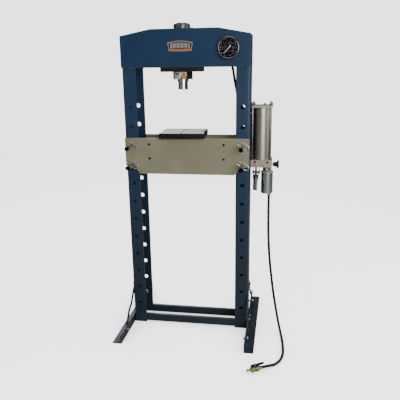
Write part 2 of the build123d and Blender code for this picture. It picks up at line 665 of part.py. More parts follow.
plunger -= rod(3 + seat, (lever_x - 20, 0, fulcrum_z), X, 40)
cross_half = socket_radius + link_plate
save("hand_plunger", plunger, rod(3, (lever_x - cross_half, 0, fulcrum_z), X, 2 * cross_half))

# ---- oil hose between pump and cylinder -------------------------------------------------------
# It hangs inside the right upright, between the bed pins and the web.
hose_x = (web_in + pin_x + pin_radius) / 2
elbow = slab((hose_x - 8.5, web_in - 1), (-10, 10), (elbow_z - 10, elbow_z + 10))
elbow += rod(8, (web_in - 1, 0, elbow_z), X, channel_wall + 1 + bracket_thick + 2)
grommet = tube(elbow_hole, 8 + seat, (web_in, 0, elbow_z), X, channel_wall + bracket_thick)
port_x = ram_x + barrel_radius
port_fitting = hex_bar(19, (port_x - 1, 0, port_z), X, 16)
port_fitting -= rod(barrel_radius, (ram_x, 0, port_z - 20), Z, 40)
port_fitting += rod(9, (port_x + 15, 0, port_z), X, 15)
inlet = hex_bar(19, (inlet_x, 0, motor_z - 9), Z, 9) + rod(9, (inlet_x, 0, motor_z - 16), Z, 7)
save("hose_fittings", elbow, rod(8, (hose_x, 0, elbow_z + 10), Z, 14), grommet, port_fitting, inlet)
oil_points = [(port_x + 30, 0, port_z), (port_x + 105, 0, port_z), (port_x + 170, 0, port_z - 35),
              (port_x + 203, 0, port_z - 110), (port_x + 217, 0, port_z - 195),
              (port_x + 236, 0, port_z - 290), (port_x + 268, 0, port_z - 385),
              (hose_x, 0, port_z - 470), (hose_x, 0, elbow_z + 24)]
oil_radii = widest_radii(oil_points)
save("oil_hose", wire(oil_points, oil_hose_radius, oil_radii))
print("oil hose radii", [round(radius) for radius in oil_radii])

# ---- air hose and its valve ------------------------------------------------------------------
# The hose hangs from the motor to the floor and runs forward; X of its route is from its top.
hose_top = (inlet_x + origin_shift, 0, motor_z - 16)
hose_end = (hose_top[0] - 2, -463, 13.5)
air_route = [(0, 0, 645), (3, -2, 525), (11, -6, 410), (24, -14, 302), (38, -24, 205), (52, -39, 120),
             (66, -67, 50), (79, -116, 8), (90, -190, 7), (98, -265, 7), (99, -330, 7),
             (87, -384, 7), (61, -426, 8), (28, -446, hose_end[2])]
air_points = [hose_top, *((hose_top[0] + x, y, z) for x, y, z in air_route), hose_end]
air_radii = widest_radii(air_points)
air_hose = wire(air_points, air_hose_radius, air_radii)
save("air_hose", air_hose, shift=0)
hose_length = air_hose.volume / (math.pi * air_hose_radius ** 2)
print("air hose radii", [round(radius) for radius in air_radii], "length", round(hose_length))

valve_way = (Vector(*hose_end) - Vector(*air_points[-2])).normalized()
valve_z = hose_end[2]


def on_valve(distance):
    """A point on the valve's axis, from the end of the hose towards the plug's tip."""
    return Vector(*hose_end) + valve_way * distance


ferrule_length, valve_length, ball_radius = 20, 36, 8
valve_hex = 2 * valve_z
ferrule = rod(9, on_valve(0), valve_way, 12) + hex_bar(20, on_valve(12), valve_way, 8)
valve_at = ferrule_length + valve_length / 2
body_plane = Plane(origin=on_valve(ferrule_length), x_dir=Z, z_dir=valve_way)


def valve_hexagon(distance, length):
    plane = Plane(origin=on_valve(distance), x_dir=Z, z_dir=valve_way)
    return extrude(plane * (Rot(0, 0, 30) * RegularPolygon(valve_hex / 2, 6, major_radius=False)), length)


valve_body = valve_hexagon(ferrule_length, 9)
valve_body += rod(valve_hex / 2 - 0.5, on_valve(ferrule_length), valve_way, valve_length)
valve_body += valve_hexagon(ferrule_length + valve_length - 9, 9)
valve_body += rod(6.5, on_valve(valve_at), Z, 17.5)
valve_body -= Pos(*on_valve(valve_at)) * Sphere(ball_radius + running)
valve_body -= rod(5, on_valve(ferrule_length - 1), valve_way, valve_length + 2)
valve_body -= rod(3 + running, on_valve(valve_at), Z, 20)
save("air_valve_body", valve_body, shift=0)
ball = Pos(*on_valve(valve_at)) * Sphere(ball_radius)
ball -= rod(5, on_valve(valve_at - 12), valve_way, 24)
ball -= rod(3 + seat, on_valve(valve_at) + Vector(0, 0, 6), Z, 10)
lever_z = 18
stem_low = on_valve(valve_at) + Vector(0, 0, 6)
lever = rod(3, stem_low, Z, lever_z + 2 - 6)
lever_plane = Plane(origin=on_valve(valve_at) + Vector(0, 0, lever_z), x_dir=valve_way * -1, z_dir=Z)
lever += extrude(lever_plane * (Pos(24, 0) * RectangleRounded(62, 13, 6)), 2.5)
lever += hex_bar(8, on_valve(valve_at) + Vector(0, 0, lever_z + 2.5), Z, 3)
save("air_valve_lever", lever, ball, shift=0)
plug_steps = [(7.5, 6), (5.5, 7), (4.4, 4), (5.9, 5), (4.6, 4)]
plug = stepped(on_valve(ferrule_length + valve_length), valve_way, *plug_steps)
plug -= rod(2.5, on_valve(ferrule_length + valve_length - 1), valve_way, 40)
save("air_hose_ends", ferrule, plug, shift=0)
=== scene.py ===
import json
import logging
import math
from dataclasses import dataclass
from enum import Enum
from typing import Iterable, Sequence

import bmesh
import bpy
from mathutils import Matrix, Vector

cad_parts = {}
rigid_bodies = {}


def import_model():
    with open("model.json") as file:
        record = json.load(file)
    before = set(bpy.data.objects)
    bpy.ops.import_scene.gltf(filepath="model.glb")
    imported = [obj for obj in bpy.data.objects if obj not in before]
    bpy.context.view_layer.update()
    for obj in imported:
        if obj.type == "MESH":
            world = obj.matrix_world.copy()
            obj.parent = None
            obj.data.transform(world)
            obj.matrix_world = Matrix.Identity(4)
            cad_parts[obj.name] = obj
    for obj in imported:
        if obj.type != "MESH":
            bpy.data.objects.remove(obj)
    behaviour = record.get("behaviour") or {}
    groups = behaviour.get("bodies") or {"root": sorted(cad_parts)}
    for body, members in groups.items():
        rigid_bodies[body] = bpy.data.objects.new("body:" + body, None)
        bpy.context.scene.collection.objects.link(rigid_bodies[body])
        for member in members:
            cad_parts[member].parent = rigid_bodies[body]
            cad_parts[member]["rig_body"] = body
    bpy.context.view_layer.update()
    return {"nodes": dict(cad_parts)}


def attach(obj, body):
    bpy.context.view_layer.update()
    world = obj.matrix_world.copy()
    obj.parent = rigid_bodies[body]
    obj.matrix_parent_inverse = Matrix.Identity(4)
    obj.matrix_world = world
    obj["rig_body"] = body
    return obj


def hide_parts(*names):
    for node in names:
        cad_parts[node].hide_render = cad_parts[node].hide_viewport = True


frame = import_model()

LOG = logging.getLogger("press")
MM = 0.001
SMOOTH_ANGLE = math.radians(32)
FLAT_ANGLE = math.radians(0.6)
SHARP_ANGLE = math.radians(30)
BEVEL_ANGLE = math.radians(40)
DUST = (0.3, 0.29, 0.27, 1.0)
BARE_EDGE = (0.75, 0.75, 0.76, 1.0)
NO_TURN = (0.0, 0.0, 0.0)
Point = Sequence[float]
Colour = tuple[float, float, float, float]


class Look(Enum):
    """Which way a metal's fine lines run, as lines per metre along each axis."""

    TURNED_Y = (30.0, 1400.0, 30.0)
    TURNED_Z = (30.0, 30.0, 1400.0)
    DRAWN_Z = (700.0, 700.0, 12.0)
    GROUND_X = (60.0, 900.0, 900.0)


class Side(Enum):
    """Left and right of the press, as a sign on X."""

    LEFT = -1
    RIGHT = 1


# ---- node trees ----------------------------------------------------------------------------------


class Graph:
    """A node tree being filled in."""

    def __init__(self, tree: bpy.types.NodeTree) -> None:
        """Keep the tree that nodes go into.

        Args:
            tree: An empty shader or geometry tree.
        """
        self.tree = tree

    def add(self, kind: str, inputs: dict | None = None, **settings: object) -> bpy.types.Node:
        """Add a node, set its properties and fill its inputs.

        Args:
            kind: The node's type name.
            inputs: Input name or index to a value or to another node's output.
            settings: The node's own properties.

        Returns:
            The node.
        """
        node = self.tree.nodes.new(kind)
        for name, value in settings.items():
            setattr(node, name, value)
        for key, value in (inputs or {}).items():
            if isinstance(value, bpy.types.NodeSocket):
                self.tree.links.new(value, node.inputs[key])
            else:
                node.inputs[key].default_value = value
        return node

    def math(self, operation: str, *values: object, clamp: bool = False) -> bpy.types.NodeSocket:
        """Add a math node.

        Args:
            operation: What it does.
            values: Numbers or other nodes' outputs.
            clamp: Whether the result is kept within 0 to 1.

        Returns:
            Its output.
        """
        inputs = {index: value for index, value in enumerate(values)}
        return self.add("ShaderNodeMath", inputs, operation=operation, use_clamp=clamp).outputs[0]

    def mix(self, factor: object, first: object, second: object) -> bpy.types.NodeSocket:
        """Mix two colours.

        Args:
            factor: Share of the second colour.
            first: Colour at 0.
            second: Colour at 1.

        Returns:
            The mixed colour.
        """
        node = self.tree.nodes.new("ShaderNodeMix")
        node.data_type = "RGBA"
        for index, value in ((0, factor), (6, first), (7, second)):
            if isinstance(value, bpy.types.NodeSocket):
                self.tree.links.new(value, node.inputs[index])
            else:
                node.inputs[index].default_value = value
        return node.outputs[2]

    def ramp(self, value: object, low: float, high: float) -> bpy.types.NodeSocket:
        """Stretch a value between two limits to the range 0 to 1.

        Args:
            value: The value.
            low: What becomes 0.
            high: What becomes 1.

        Returns:
            The stretched value.
        """
        inputs = {0: value, 1: low, 2: high, 3: 0.0, 4: 1.0}
        return self.add("ShaderNodeMapRange", inputs, clamp=True).outputs[0]

    def noise(self, vector: object, scale: float, detail: float = 3.0) -> bpy.types.NodeSocket:
        """Add a noise texture.

        Args:
            vector: Where it is read.
            scale: Its scale.
            detail: Its octaves.

        Returns:
            Its value.
        """
        inputs = {"Vector": vector, "Scale": scale, "Detail": detail}
        return self.add("ShaderNodeTexNoise", inputs).outputs[0]


SOCKETS = {"float": "NodeSocketFloat", "vector": "NodeSocketVector", "colour": "NodeSocketColor"}


def shader_group(name: str, inputs: Sequence[tuple[str, str, object]], outputs: Sequence[tuple[str, str]]
                 ) -> tuple[Graph, bpy.types.Node, bpy.types.Node]:
    """Make an empty shader node group.

    Args:
        name: The group's name.
        inputs: Name, kind and default of each input.
        outputs: Name and kind of each output.

    Returns:
        The graph, its input node and its output node.
    """
    tree = bpy.data.node_groups.new(name, "ShaderNodeTree")
    for label, kind, default in inputs:
        socket = tree.interface.new_socket(name=label, in_out="INPUT", socket_type=SOCKETS[kind])
        socket.default_value = default
    for label, kind in outputs:
        tree.interface.new_socket(name=label, in_out="OUTPUT", socket_type=SOCKETS[kind])
    graph = Graph(tree)
    return graph, graph.add("NodeGroupInput"), graph.add("NodeGroupOutput")


class Effects:
    """The shader groups that the finishes share."""

    def __init__(self) -> None:
        """Build each group once."""
        self.mottle = self._mottle()
        self.edges = self._edges()
        self.dust = self._dust_and_floor_shade()
        self.lines = self._lines()

    @staticmethod
    def _mottle() -> bpy.types.NodeTree:
        """Broad unevenness of a sprayed or cast surface, with its fine orange peel.

        Returns:
            The group.
        """
        inputs = [("Broad", "float", 9.0), ("Fine", "float", 420.0)]
        outputs = [("Tone", "float"), ("Grain", "float")]
        graph, given, out = shader_group("mottle", inputs, outputs)
        place = graph.add("ShaderNodeTexCoord").outputs["Object"]
        broad = graph.noise(place, 1.0, 4.0)
        fine = graph.noise(place, 1.0, 2.0)
        graph.tree.links.new(given.outputs["Broad"], broad.node.inputs["Scale"])
        graph.tree.links.new(given.outputs["Fine"], fine.node.inputs["Scale"])
        graph.tree.links.new(graph.ramp(broad, 0.32, 0.68), out.inputs["Tone"])
        graph.tree.links.new(fine, out.inputs["Grain"])
        return graph.tree

    @staticmethod
    def _edges() -> bpy.types.NodeTree:
        """Rubbed edges: where the rounded normal leaves the flat one, broken up by noise.

        Returns:
            The group.
        """
        inputs = [("Width", "float", 0.002), ("Amount", "float", 0.5), ("Patches", "float", 60.0)]
        graph, given, out = shader_group("edge_wear", inputs, [("Mask", "float")])
        rounded = graph.add("ShaderNodeBevel", {"Radius": given.outputs["Width"]}, samples=4).outputs[0]
        flat = graph.add("ShaderNodeNewGeometry").outputs["Normal"]
        dot = graph.add("ShaderNodeVectorMath", {0: rounded, 1: flat}, operation="DOT_PRODUCT")
        edge = graph.ramp(dot.outputs["Value"], 0.995, 0.86)
        place = graph.add("ShaderNodeTexCoord").outputs["Object"]
        patches = graph.noise(place, 1.0, 5.0)
        graph.tree.links.new(given.outputs["Patches"], patches.node.inputs["Scale"])
        threshold = graph.math("SUBTRACT", 1.0, given.outputs["Amount"])
        scaled = graph.math("MULTIPLY", threshold, 0.75)
        broken = graph.ramp(graph.math("SUBTRACT", patches, scaled), 0.0, 0.12)
        graph.tree.links.new(graph.math("MULTIPLY", edge, broken, clamp=True), out.inputs["Mask"])
        return graph.tree

    @staticmethod
    def _dust_and_floor_shade() -> bpy.types.NodeTree:
        """Workshop dust on what faces up, and how near the floor a point is, which the enamel uses as the
        mask for its painted shade towards the floor.

        Returns:
            The group.
        """
        inputs = [("Amount", "float", 0.4), ("Floor height", "float", 0.25)]
        graph, given, out = shader_group("dust", inputs, [("Mask", "float"), ("Floor_shade", "float")])
        place = graph.add("ShaderNodeTexCoord").outputs["Object"]
        height = graph.add("ShaderNodeSeparateXYZ", {0: place}).outputs[2]
        normal = graph.add("ShaderNodeNewGeometry").outputs["Normal"]
        up = graph.ramp(graph.add("ShaderNodeSeparateXYZ", {0: normal}).outputs[2], 0.55, 0.95)
        share = graph.math("DIVIDE", height, given.outputs["Floor height"])
        low = graph.math("SUBTRACT", 1.0, share, clamp=True)
        where = graph.math("MAXIMUM", up, graph.math("MULTIPLY", low, 0.3))
        clouds = graph.ramp(graph.noise(place, 14.0, 6.0), 0.35, 0.7)
        laid = graph.math("MULTIPLY", where, clouds)
        mask = graph.math("MULTIPLY", laid, given.outputs["Amount"], clamp=True)
        graph.tree.links.new(mask, out.inputs["Mask"])
        # mask for painted shade, rising towards the floor
        graph.tree.links.new(graph.ramp(height, 1.15, 0.35), out.inputs["Floor_shade"])
        return graph.tree

    @staticmethod
    def _lines() -> bpy.types.NodeTree:
        """Fine tool lines: noise drawn out along one direction.

        Returns:
            The group.
        """
        inputs = [("Stretch", "vector", (20.0, 20.0, 900.0))]
        graph, given, out = shader_group("tool_lines", inputs, [("Tone", "float"), ("Height", "float")])
        place = graph.add("ShaderNodeTexCoord").outputs["Object"]
        inputs = {0: place, 1: given.outputs["Stretch"]}
        drawn = graph.add("ShaderNodeVectorMath", inputs, operation="MULTIPLY")
        fine = graph.noise(drawn.outputs[0], 1.0, 2.0)
        graph.tree.links.new(graph.ramp(fine, 0.3, 0.7), out.inputs["Tone"])
        graph.tree.links.new(fine, out.inputs["Height"])
        return graph.tree


EFFECTS = Effects()


# ---- finishes ------------------------------------------------------------------------------------


@dataclass(frozen=True)
class Finish:
    """What every finish has: a name and a way to make its material once."""

    name: str

    def material(self) -> bpy.types.Material:
        """Return the finish's material, made on first use.

        Returns:
            The material.
        """
        known = bpy.data.materials.get("finish_" + self.name)
        if known:
            return known
        made = bpy.data.materials.new("finish_" + self.name)
        made.use_nodes = True
        graph = Graph(made.node_tree)
        shader = made.node_tree.nodes["Principled BSDF"]
        self.fill(graph, shader)
        return made

    def fill(self, graph: Graph, shader: bpy.types.Node) -> None:
        """Build the finish's own nodes.

        Args:
            graph: The material's tree.
            shader: Its Principled BSDF.
        """
        raise NotImplementedError

    @staticmethod
    def bump(graph: Graph, shader: bpy.types.Node, height: object, depth: float) -> None:
        """Feed a height into the shader's normal.

        Args:
            graph: The material's tree.
            shader: Its Principled BSDF.
            height: The height.
            depth: Its depth in metres.
        """
        inputs = {"Height": height, "Strength": 1.0, "Distance": depth}
        node = graph.add("ShaderNodeBump", inputs)
        graph.tree.links.new(node.outputs[0], shader.inputs["Normal"])

    @staticmethod
    def group(graph: Graph, tree: bpy.types.NodeTree, **values: object) -> bpy.types.Node:
        """Place a shared effect with its own values.

        Args:
            graph: The material's tree.
            tree: The effect.
            values: Its inputs, named with _ for a space.

        Returns:
            The group node.
        """
        node = graph.add("ShaderNodeGroup", node_tree=tree)
        for name, value in values.items():
            node.inputs[name.replace("_", " ")].default_value = value
        return node


@dataclass(frozen=True)
class Enamel(Finish):
    """Sprayed enamel with orange peel, rubbed edges and some dust, and painted shade towards the floor where
    a low colour is given.
    """

    colour: Colour
    shade: Colour
    # the low colour is painted shade, mixed in towards the floor
    low: Colour | None = None
    worn: Colour = (0.3, 0.3, 0.31, 1.0)
    roughness: float = 0.34
    wear: float = 0.4
    dust: float = 0.1
    peel: float = 0.00003

    def fill(self, graph: Graph, shader: bpy.types.Node) -> None:
        """Build the enamel: colour from tone, painted shade towards the floor, wear and dust, gloss from its
        grain.

        Args:
            graph: The material's tree.
            shader: Its Principled BSDF.
        """
        mottle = self.group(graph, EFFECTS.mottle)
        edge = self.group(graph, EFFECTS.edges, Width=0.0022, Amount=self.wear, Patches=70.0)
        dust = self.group(graph, EFFECTS.dust, Amount=self.dust)
        paint = graph.mix(mottle.outputs["Tone"], self.shade, self.colour)
        # painted shade: the paint turns to the low colour towards the floor
        if self.low:
            paint = graph.mix(dust.outputs["Floor_shade"], paint, self.low)
        rubbed = graph.mix(edge.outputs["Mask"], paint, self.worn)
        colour = graph.mix(dust.outputs["Mask"], rubbed, DUST)
        grain = graph.math("MULTIPLY", mottle.outputs["Grain"], 0.16)
        gloss = graph.math("ADD", grain, self.roughness - 0.08)
        rough = graph.math("ADD", gloss, graph.math("MULTIPLY", dust.outputs["Mask"], 0.5), clamp=True)
        graph.tree.links.new(colour, shader.inputs["Base Color"])
        graph.tree.links.new(rough, shader.inputs["Roughness"])
        graph.tree.links.new(graph.math("MULTIPLY", edge.outputs["Mask"], 0.7), shader.inputs["Metallic"])
        shader.inputs["Coat Weight"].default_value = 0.08
        shader.inputs["Specular IOR Level"].default_value = 0.35
        shader.inputs["Coat Roughness"].default_value = 0.15
        self.bump(graph, shader, mottle.outputs["Grain"], self.peel)


@dataclass(frozen=True)
class Metal(Finish):
    """Bare or plated metal with tool lines and slight staining."""

    colour: Colour
    stain: Colour
    roughness: float = 0.3
    look: Look = Look.GROUND_X
    depth: float = 0.000005
    wear: float = 0.0
    metallic: float = 1.0

    def fill(self, graph: Graph, shader: bpy.types.Node) -> None:
        """Build the metal: tone and gloss from its tool lines and stains.

        Args:
            graph: The material's tree.
            shader: Its Principled BSDF.
        """
        lines = self.group(graph, EFFECTS.lines, Stretch=self.look.value)
        mottle = self.group(graph, EFFECTS.mottle, Broad=26.0)
        stained = graph.math("MULTIPLY", mottle.outputs["Tone"], 0.5)
        tone = graph.mix(stained, self.colour, self.stain)
        colour = graph.mix(graph.math("MULTIPLY", lines.outputs["Tone"], 0.25), tone, self.stain)
        if self.wear:
            edge = self.group(graph, EFFECTS.edges, Width=0.0018, Amount=self.wear, Patches=90.0)
            colour = graph.mix(edge.outputs["Mask"], colour, BARE_EDGE)
        tones = graph.math("ADD", lines.outputs["Tone"], mottle.outputs["Tone"])
        spread = graph.math("MULTIPLY", tones, 0.07)
        rough = graph.math("ADD", spread, self.roughness - 0.05, clamp=True)
        graph.tree.links.new(self.coloured(graph, colour), shader.inputs["Base Color"])
        graph.tree.links.new(rough, shader.inputs["Roughness"])
        shader.inputs["Metallic"].default_value = self.metallic
        self.bump(graph, shader, lines.outputs["Height"], self.depth)

    def coloured(self, graph: Graph, colour: bpy.types.NodeSocket) -> bpy.types.NodeSocket:
        """Leave the colour as it is; a finish with a dipped end changes it.

        Args:
            graph: The material's tree.
            colour: The metal's colour.

        Returns:
            The colour to use.
        """
        return colour


@dataclass(frozen=True)
class DippedMetal(Metal):
    """Metal bar whose end is blackened, in front of a plane across Y."""

    dip: Colour = (0.012, 0.012, 0.012, 1.0)
    dip_y: float = -0.168

    def coloured(self, graph: Graph, colour: bpy.types.NodeSocket) -> bpy.types.NodeSocket:
        """Blacken the end.

        Args:
            graph: The material's tree.
            colour: The metal's colour.

        Returns:
            The colour with its black end.
        """
        place = graph.add("ShaderNodeTexCoord").outputs["Object"]
        along = graph.add("ShaderNodeSeparateXYZ", {0: place}).outputs[1]
        return graph.mix(graph.ramp(along, self.dip_y + 0.003, self.dip_y), colour, self.dip)


@dataclass(frozen=True)
class TopLitMetal(Metal):
    """Blackened plate whose upward faces are painted lighter, a painted highlight."""

    # top: painted highlight colour for the upward faces
    top: Colour = (0.55, 0.555, 0.53, 1.0)

    def coloured(self, graph: Graph, colour: bpy.types.NodeSocket) -> bpy.types.NodeSocket:
        """Paint a highlight on the faces that look up.

        Args:
            graph: The material's tree.
            colour: The metal's colour.

        Returns:
            The colour with its painted highlight on top.
        """
        normal = graph.add("ShaderNodeNewGeometry").outputs["Normal"]
        up = graph.add("ShaderNodeSeparateXYZ", {0: normal}).outputs[2]
        return graph.mix(graph.ramp(up, 0.85, 0.97), colour, self.top)


@dataclass(frozen=True)
class Moulded(Finish):
    """Moulded plastic or rubber with a fine texture and handling marks."""

    colour: Colour
    shade: Colour
    roughness: float = 0.45
    dust: float = 0.06
    depth: float = 0.00004
    specular: float = 0.4

    def fill(self, graph: Graph, shader: bpy.types.Node) -> None:
        """Build the moulding: colour from tone and dust, gloss from its grain.

        Args:
            graph: The material's tree.
            shader: Its Principled BSDF.
        """
        mottle = self.group(graph, EFFECTS.mottle, Broad=30.0, Fine=900.0)
        dust = self.group(graph, EFFECTS.dust, Amount=self.dust, Floor_height=0.12)
        paint = graph.mix(mottle.outputs["Tone"], self.shade, self.colour)
        colour = graph.mix(dust.outputs["Mask"], paint, DUST)
        grain = graph.math("MULTIPLY", mottle.outputs["Grain"], 0.25)
        rough = graph.math("ADD", grain, self.roughness - 0.12)
        shader.inputs["Specular IOR Level"].default_value = self.specular
        graph.tree.links.new(colour, shader.inputs["Base Color"])
        graph.tree.links.new(rough, shader.inputs["Roughness"])
        self.bump(graph, shader, mottle.outputs["Grain"], self.depth)


@dataclass(frozen=True)
class Braid(Finish):
    """Rubber hose cover with the faint spiral of the cloth that it was cured in."""

    colour: Colour
    pitch: float = 0.0035

    def fill(self, graph: Graph, shader: bpy.types.Node) -> None:
        """Build the cover: a wave along its length under a fine grain.

        Args:
            graph: The material's tree.
            shader: Its Principled BSDF.
        """
        mottle = self.group(graph, EFFECTS.mottle, Broad=40.0, Fine=1400.0)
        dust = self.group(graph, EFFECTS.dust, Amount=0.12, Floor_height=0.06)
        place = graph.add("ShaderNodeTexCoord").outputs["Object"]
        inputs = {"Vector": place, "Scale": 1 / self.pitch / 20, "Distortion": 1.5}
        bands = graph.add("ShaderNodeTexWave", inputs, bands_direction="DIAGONAL").outputs["Fac"]
        pale = tuple(min(1.0, part * 2.6) for part in self.colour[:3]) + (1.0,)
        cover = graph.mix(graph.math("MULTIPLY", mottle.outputs["Tone"], 0.45), self.colour, pale)
        colour = graph.mix(dust.outputs["Mask"], cover, DUST)
        rough = graph.math("ADD", graph.math("MULTIPLY", bands, 0.12), 0.45)
        shader.inputs["Specular IOR Level"].default_value = 0.25
        graph.tree.links.new(colour, shader.inputs["Base Color"])
        graph.tree.links.new(rough, shader.inputs["Roughness"])
        self.bump(graph, shader, graph.math("ADD", bands, mottle.outputs["Grain"]), 0.00008)


@dataclass(frozen=True)
class Lens(Finish):
    """Clear gauge glass with a few smears."""

    roughness: float = 0.03

    def fill(self, graph: Graph, shader: bpy.types.Node) -> None:
        """Build the glass.

        Args:
            graph: The material's tree.
            shader: Its Principled BSDF.
        """
        mottle = self.group(graph, EFFECTS.mottle, Broad=45.0)
        smear = graph.math("MULTIPLY", mottle.outputs["Tone"], 0.07)
        graph.tree.links.new(graph.math("ADD", smear, self.roughness), shader.inputs["Roughness"])
        shader.inputs["Base Color"].default_value = (0.97, 0.98, 0.98, 1.0)
        shader.inputs["Transmission Weight"].default_value = 1.0
        shader.inputs["IOR"].default_value = 1.1


@dataclass(frozen=True)
class Seamless(Finish):
    """Pale paper that the press stands on: it glows for the eye and stays dull in reflections."""

    colour: Colour
    dull: Colour
    glow: float

    def fill(self, graph: Graph, shader: bpy.types.Node) -> None:
        """Build the paper, with a painted soft contact shadow where things stand on it.

        Args:
            graph: The material's tree.
            shader: Its Principled BSDF.
        """
        place = graph.add("ShaderNodeTexCoord").outputs["Object"]
        clouds = graph.ramp(graph.noise(place, 3.0, 2.0), 0.3, 0.7)
        tint = tuple(part * 0.985 for part in self.colour[:3]) + (1.0,)
        seen = graph.add("ShaderNodeLightPath").outputs["Is Camera Ray"]
        paper = graph.mix(clouds, tint, self.colour)
        # painted contact shadow: the glow dims where ambient occlusion finds things close by
        near = graph.add("ShaderNodeAmbientOcclusion", {"Distance": 0.16}, samples=8).outputs["AO"]
        open_share = graph.math("ADD", graph.math("MULTIPLY", graph.math("POWER", near, 1.5), 0.62), 0.38)
        glow = graph.math("MULTIPLY", graph.math("MULTIPLY", seen, open_share), self.glow)
        graph.tree.links.new(graph.mix(seen, self.dull, paper), shader.inputs["Base Color"])
        graph.tree.links.new(glow, shader.inputs["Emission Strength"])
        shader.inputs["Roughness"].default_value = 0.9
        shader.inputs["Specular IOR Level"].default_value = 0.0
        shader.inputs["Emission Color"].default_value = self.colour


# the frame's low colour is painted shade, darker towards the floor
FRAME_BLUE = Enamel("frame_blue", (0.022, 0.056, 0.116, 1), (0.017, 0.046, 0.098, 1),
                    low=(0.019, 0.033, 0.05, 1))
HEAD_BLUE = Enamel("head_blue", (0.017, 0.05, 0.112, 1), (0.0135, 0.042, 0.097, 1), dust=0.04)
BED_CREAM = Enamel("bed_cream", (0.33, 0.315, 0.2, 1), (0.285, 0.262, 0.172, 1),
                   worn=(0.5, 0.49, 0.42, 1), roughness=0.42, wear=0.6, dust=0.12)
BLACK_ENAMEL = Enamel("black_enamel", (0.02, 0.02, 0.02, 1), (0.012, 0.012, 0.012, 1),
                      worn=(0.12, 0.12, 0.12, 1), roughness=0.32)
SOCKET_STEEL = Metal("socket_steel", (0.3, 0.29, 0.27, 1), (0.03, 0.03, 0.03, 1), 0.3, wear=0.6)
BOLT_STEEL = Metal("bolt_steel", (0.52, 0.52, 0.52, 1), (0.25, 0.25, 0.25, 1), 0.26, wear=0.5)
GROUND_STEEL = Metal("ground_steel", (0.62, 0.62, 0.62, 1), (0.45, 0.45, 0.45, 1), 0.26, Look.DRAWN_Z)
ROD_STEEL = Metal("rod_steel", (0.36, 0.37, 0.37, 1), (0.14, 0.14, 0.14, 1), 0.16, Look.TURNED_Z,
                  depth=0.000003)
DULL_STEEL = Metal("dull_steel", (0.12, 0.13, 0.13, 1), (0.065, 0.07, 0.07, 1), 0.34, Look.TURNED_Z, wear=0.5)
CHROME = Metal("chrome", (0.9, 0.9, 0.91, 1), (0.74, 0.74, 0.76, 1), 0.09, Look.TURNED_Z, depth=0.000003)
RIM_STEEL = Metal("rim_steel", (0.22, 0.23, 0.245, 1), (0.12, 0.125, 0.13, 1), 0.22, Look.TURNED_Y,
                  depth=0.000003)
PIN_STEEL = DippedMetal("pin_steel", (0.5, 0.5, 0.5, 1), (0.2, 0.2, 0.2, 1), 0.26, Look.TURNED_Y, wear=0.5)
BLACK_OXIDE = Metal("black_oxide", (0.03, 0.03, 0.03, 1), (0.015, 0.015, 0.015, 1), 0.35, wear=0.3)
SPRING_WIRE = Metal("spring_wire", (0.85, 0.85, 0.85, 1), (0.45, 0.45, 0.45, 1), 0.1)
# arbor plates: blackened, with a painted highlight on their tops
BLACKED_PLATE = TopLitMetal("blacked_plate", (0.0125, 0.0125, 0.012, 1), (0.006, 0.006, 0.006, 1), 0.42,
                            wear=0.3,
                            metallic=0.5)
ANODISED = Metal("anodised", (0.5, 0.46, 0.385, 1), (0.4, 0.36, 0.29, 1), 0.37, Look.DRAWN_Z, depth=0.000001)
MOTOR_STEEL = Metal("motor_steel", (0.74, 0.77, 0.74, 1), (0.5, 0.52, 0.5, 1), 0.2, Look.DRAWN_Z,
                    depth=0.000002)
CAST_ALUMINIUM = Metal("cast_aluminium", (0.5, 0.45, 0.37, 1), (0.39, 0.34, 0.275, 1), 0.48, depth=0.00002,
                       metallic=0.35)
BRASS = Metal("brass", (0.55, 0.46, 0.13, 1), (0.36, 0.28, 0.07, 1), 0.28, Look.TURNED_Z, wear=0.3)
BLACK_PLASTIC = Moulded("black_plastic", (0.011, 0.011, 0.011, 1), (0.006, 0.006, 0.006, 1), specular=0.3)
WHITE_PLASTIC = Moulded("white_plastic", (0.8, 0.8, 0.78, 1), (0.7, 0.7, 0.68, 1), roughness=0.4)
RED_PLASTIC = Moulded("red_plastic", (0.2, 0.016, 0.026, 1), (0.11, 0.008, 0.014, 1), roughness=0.3, dust=0.0)
HOSE_RUBBER = Braid("hose_rubber", (0.01, 0.01, 0.01, 1))
GAUGE_BLACK = Moulded("gauge_black", (0.02, 0.02, 0.021, 1), (0.014, 0.014, 0.015, 1), roughness=0.6,
                      dust=0.0)
TICK_GREY = Moulded("tick_grey", (0.2, 0.2, 0.19, 1), (0.14, 0.14, 0.13, 1), roughness=0.6, dust=0.0)
NEEDLE_WHITE = Moulded("needle_white", (0.95, 0.95, 0.95, 1), (0.88, 0.88, 0.88, 1), roughness=0.5, dust=0.0)
PRINT_RED = Moulded("print_red", (0.3, 0.02, 0.05, 1), (0.22, 0.014, 0.035, 1), roughness=0.5, dust=0.0)
LABEL_PAPER = Moulded("label_paper", (0.97, 0.96, 0.9, 1), (0.92, 0.91, 0.84, 1), roughness=0.38, dust=0.0)
LABEL_GREEN = Moulded("label_green", (0.72, 0.74, 0.16, 1), (0.6, 0.64, 0.12, 1), roughness=0.38, dust=0.0)
LABEL_AMBER = Moulded("label_amber", (0.62, 0.33, 0.02, 1), (0.52, 0.26, 0.015, 1), roughness=0.38, dust=0.0)
LABEL_DARK = Moulded("label_dark", (0.035, 0.022, 0.015, 1), (0.025, 0.015, 0.01, 1), roughness=0.38,
                     dust=0.0)
BADGE_ORANGE = Enamel("badge_orange", (0.6, 0.2, 0.06, 1), (0.45, 0.14, 0.04, 1), roughness=0.25, wear=0.2,
                      dust=0.0)
BADGE_FIELD = Enamel("badge_field", (0.016, 0.013, 0.013, 1), (0.01, 0.009, 0.009, 1), roughness=0.25,
                     wear=0.2,
                     dust=0.0)
BADGE_SILVER = Metal("badge_silver", (0.92, 0.9, 0.86, 1), (0.8, 0.77, 0.72, 1), 0.35, metallic=0.2)
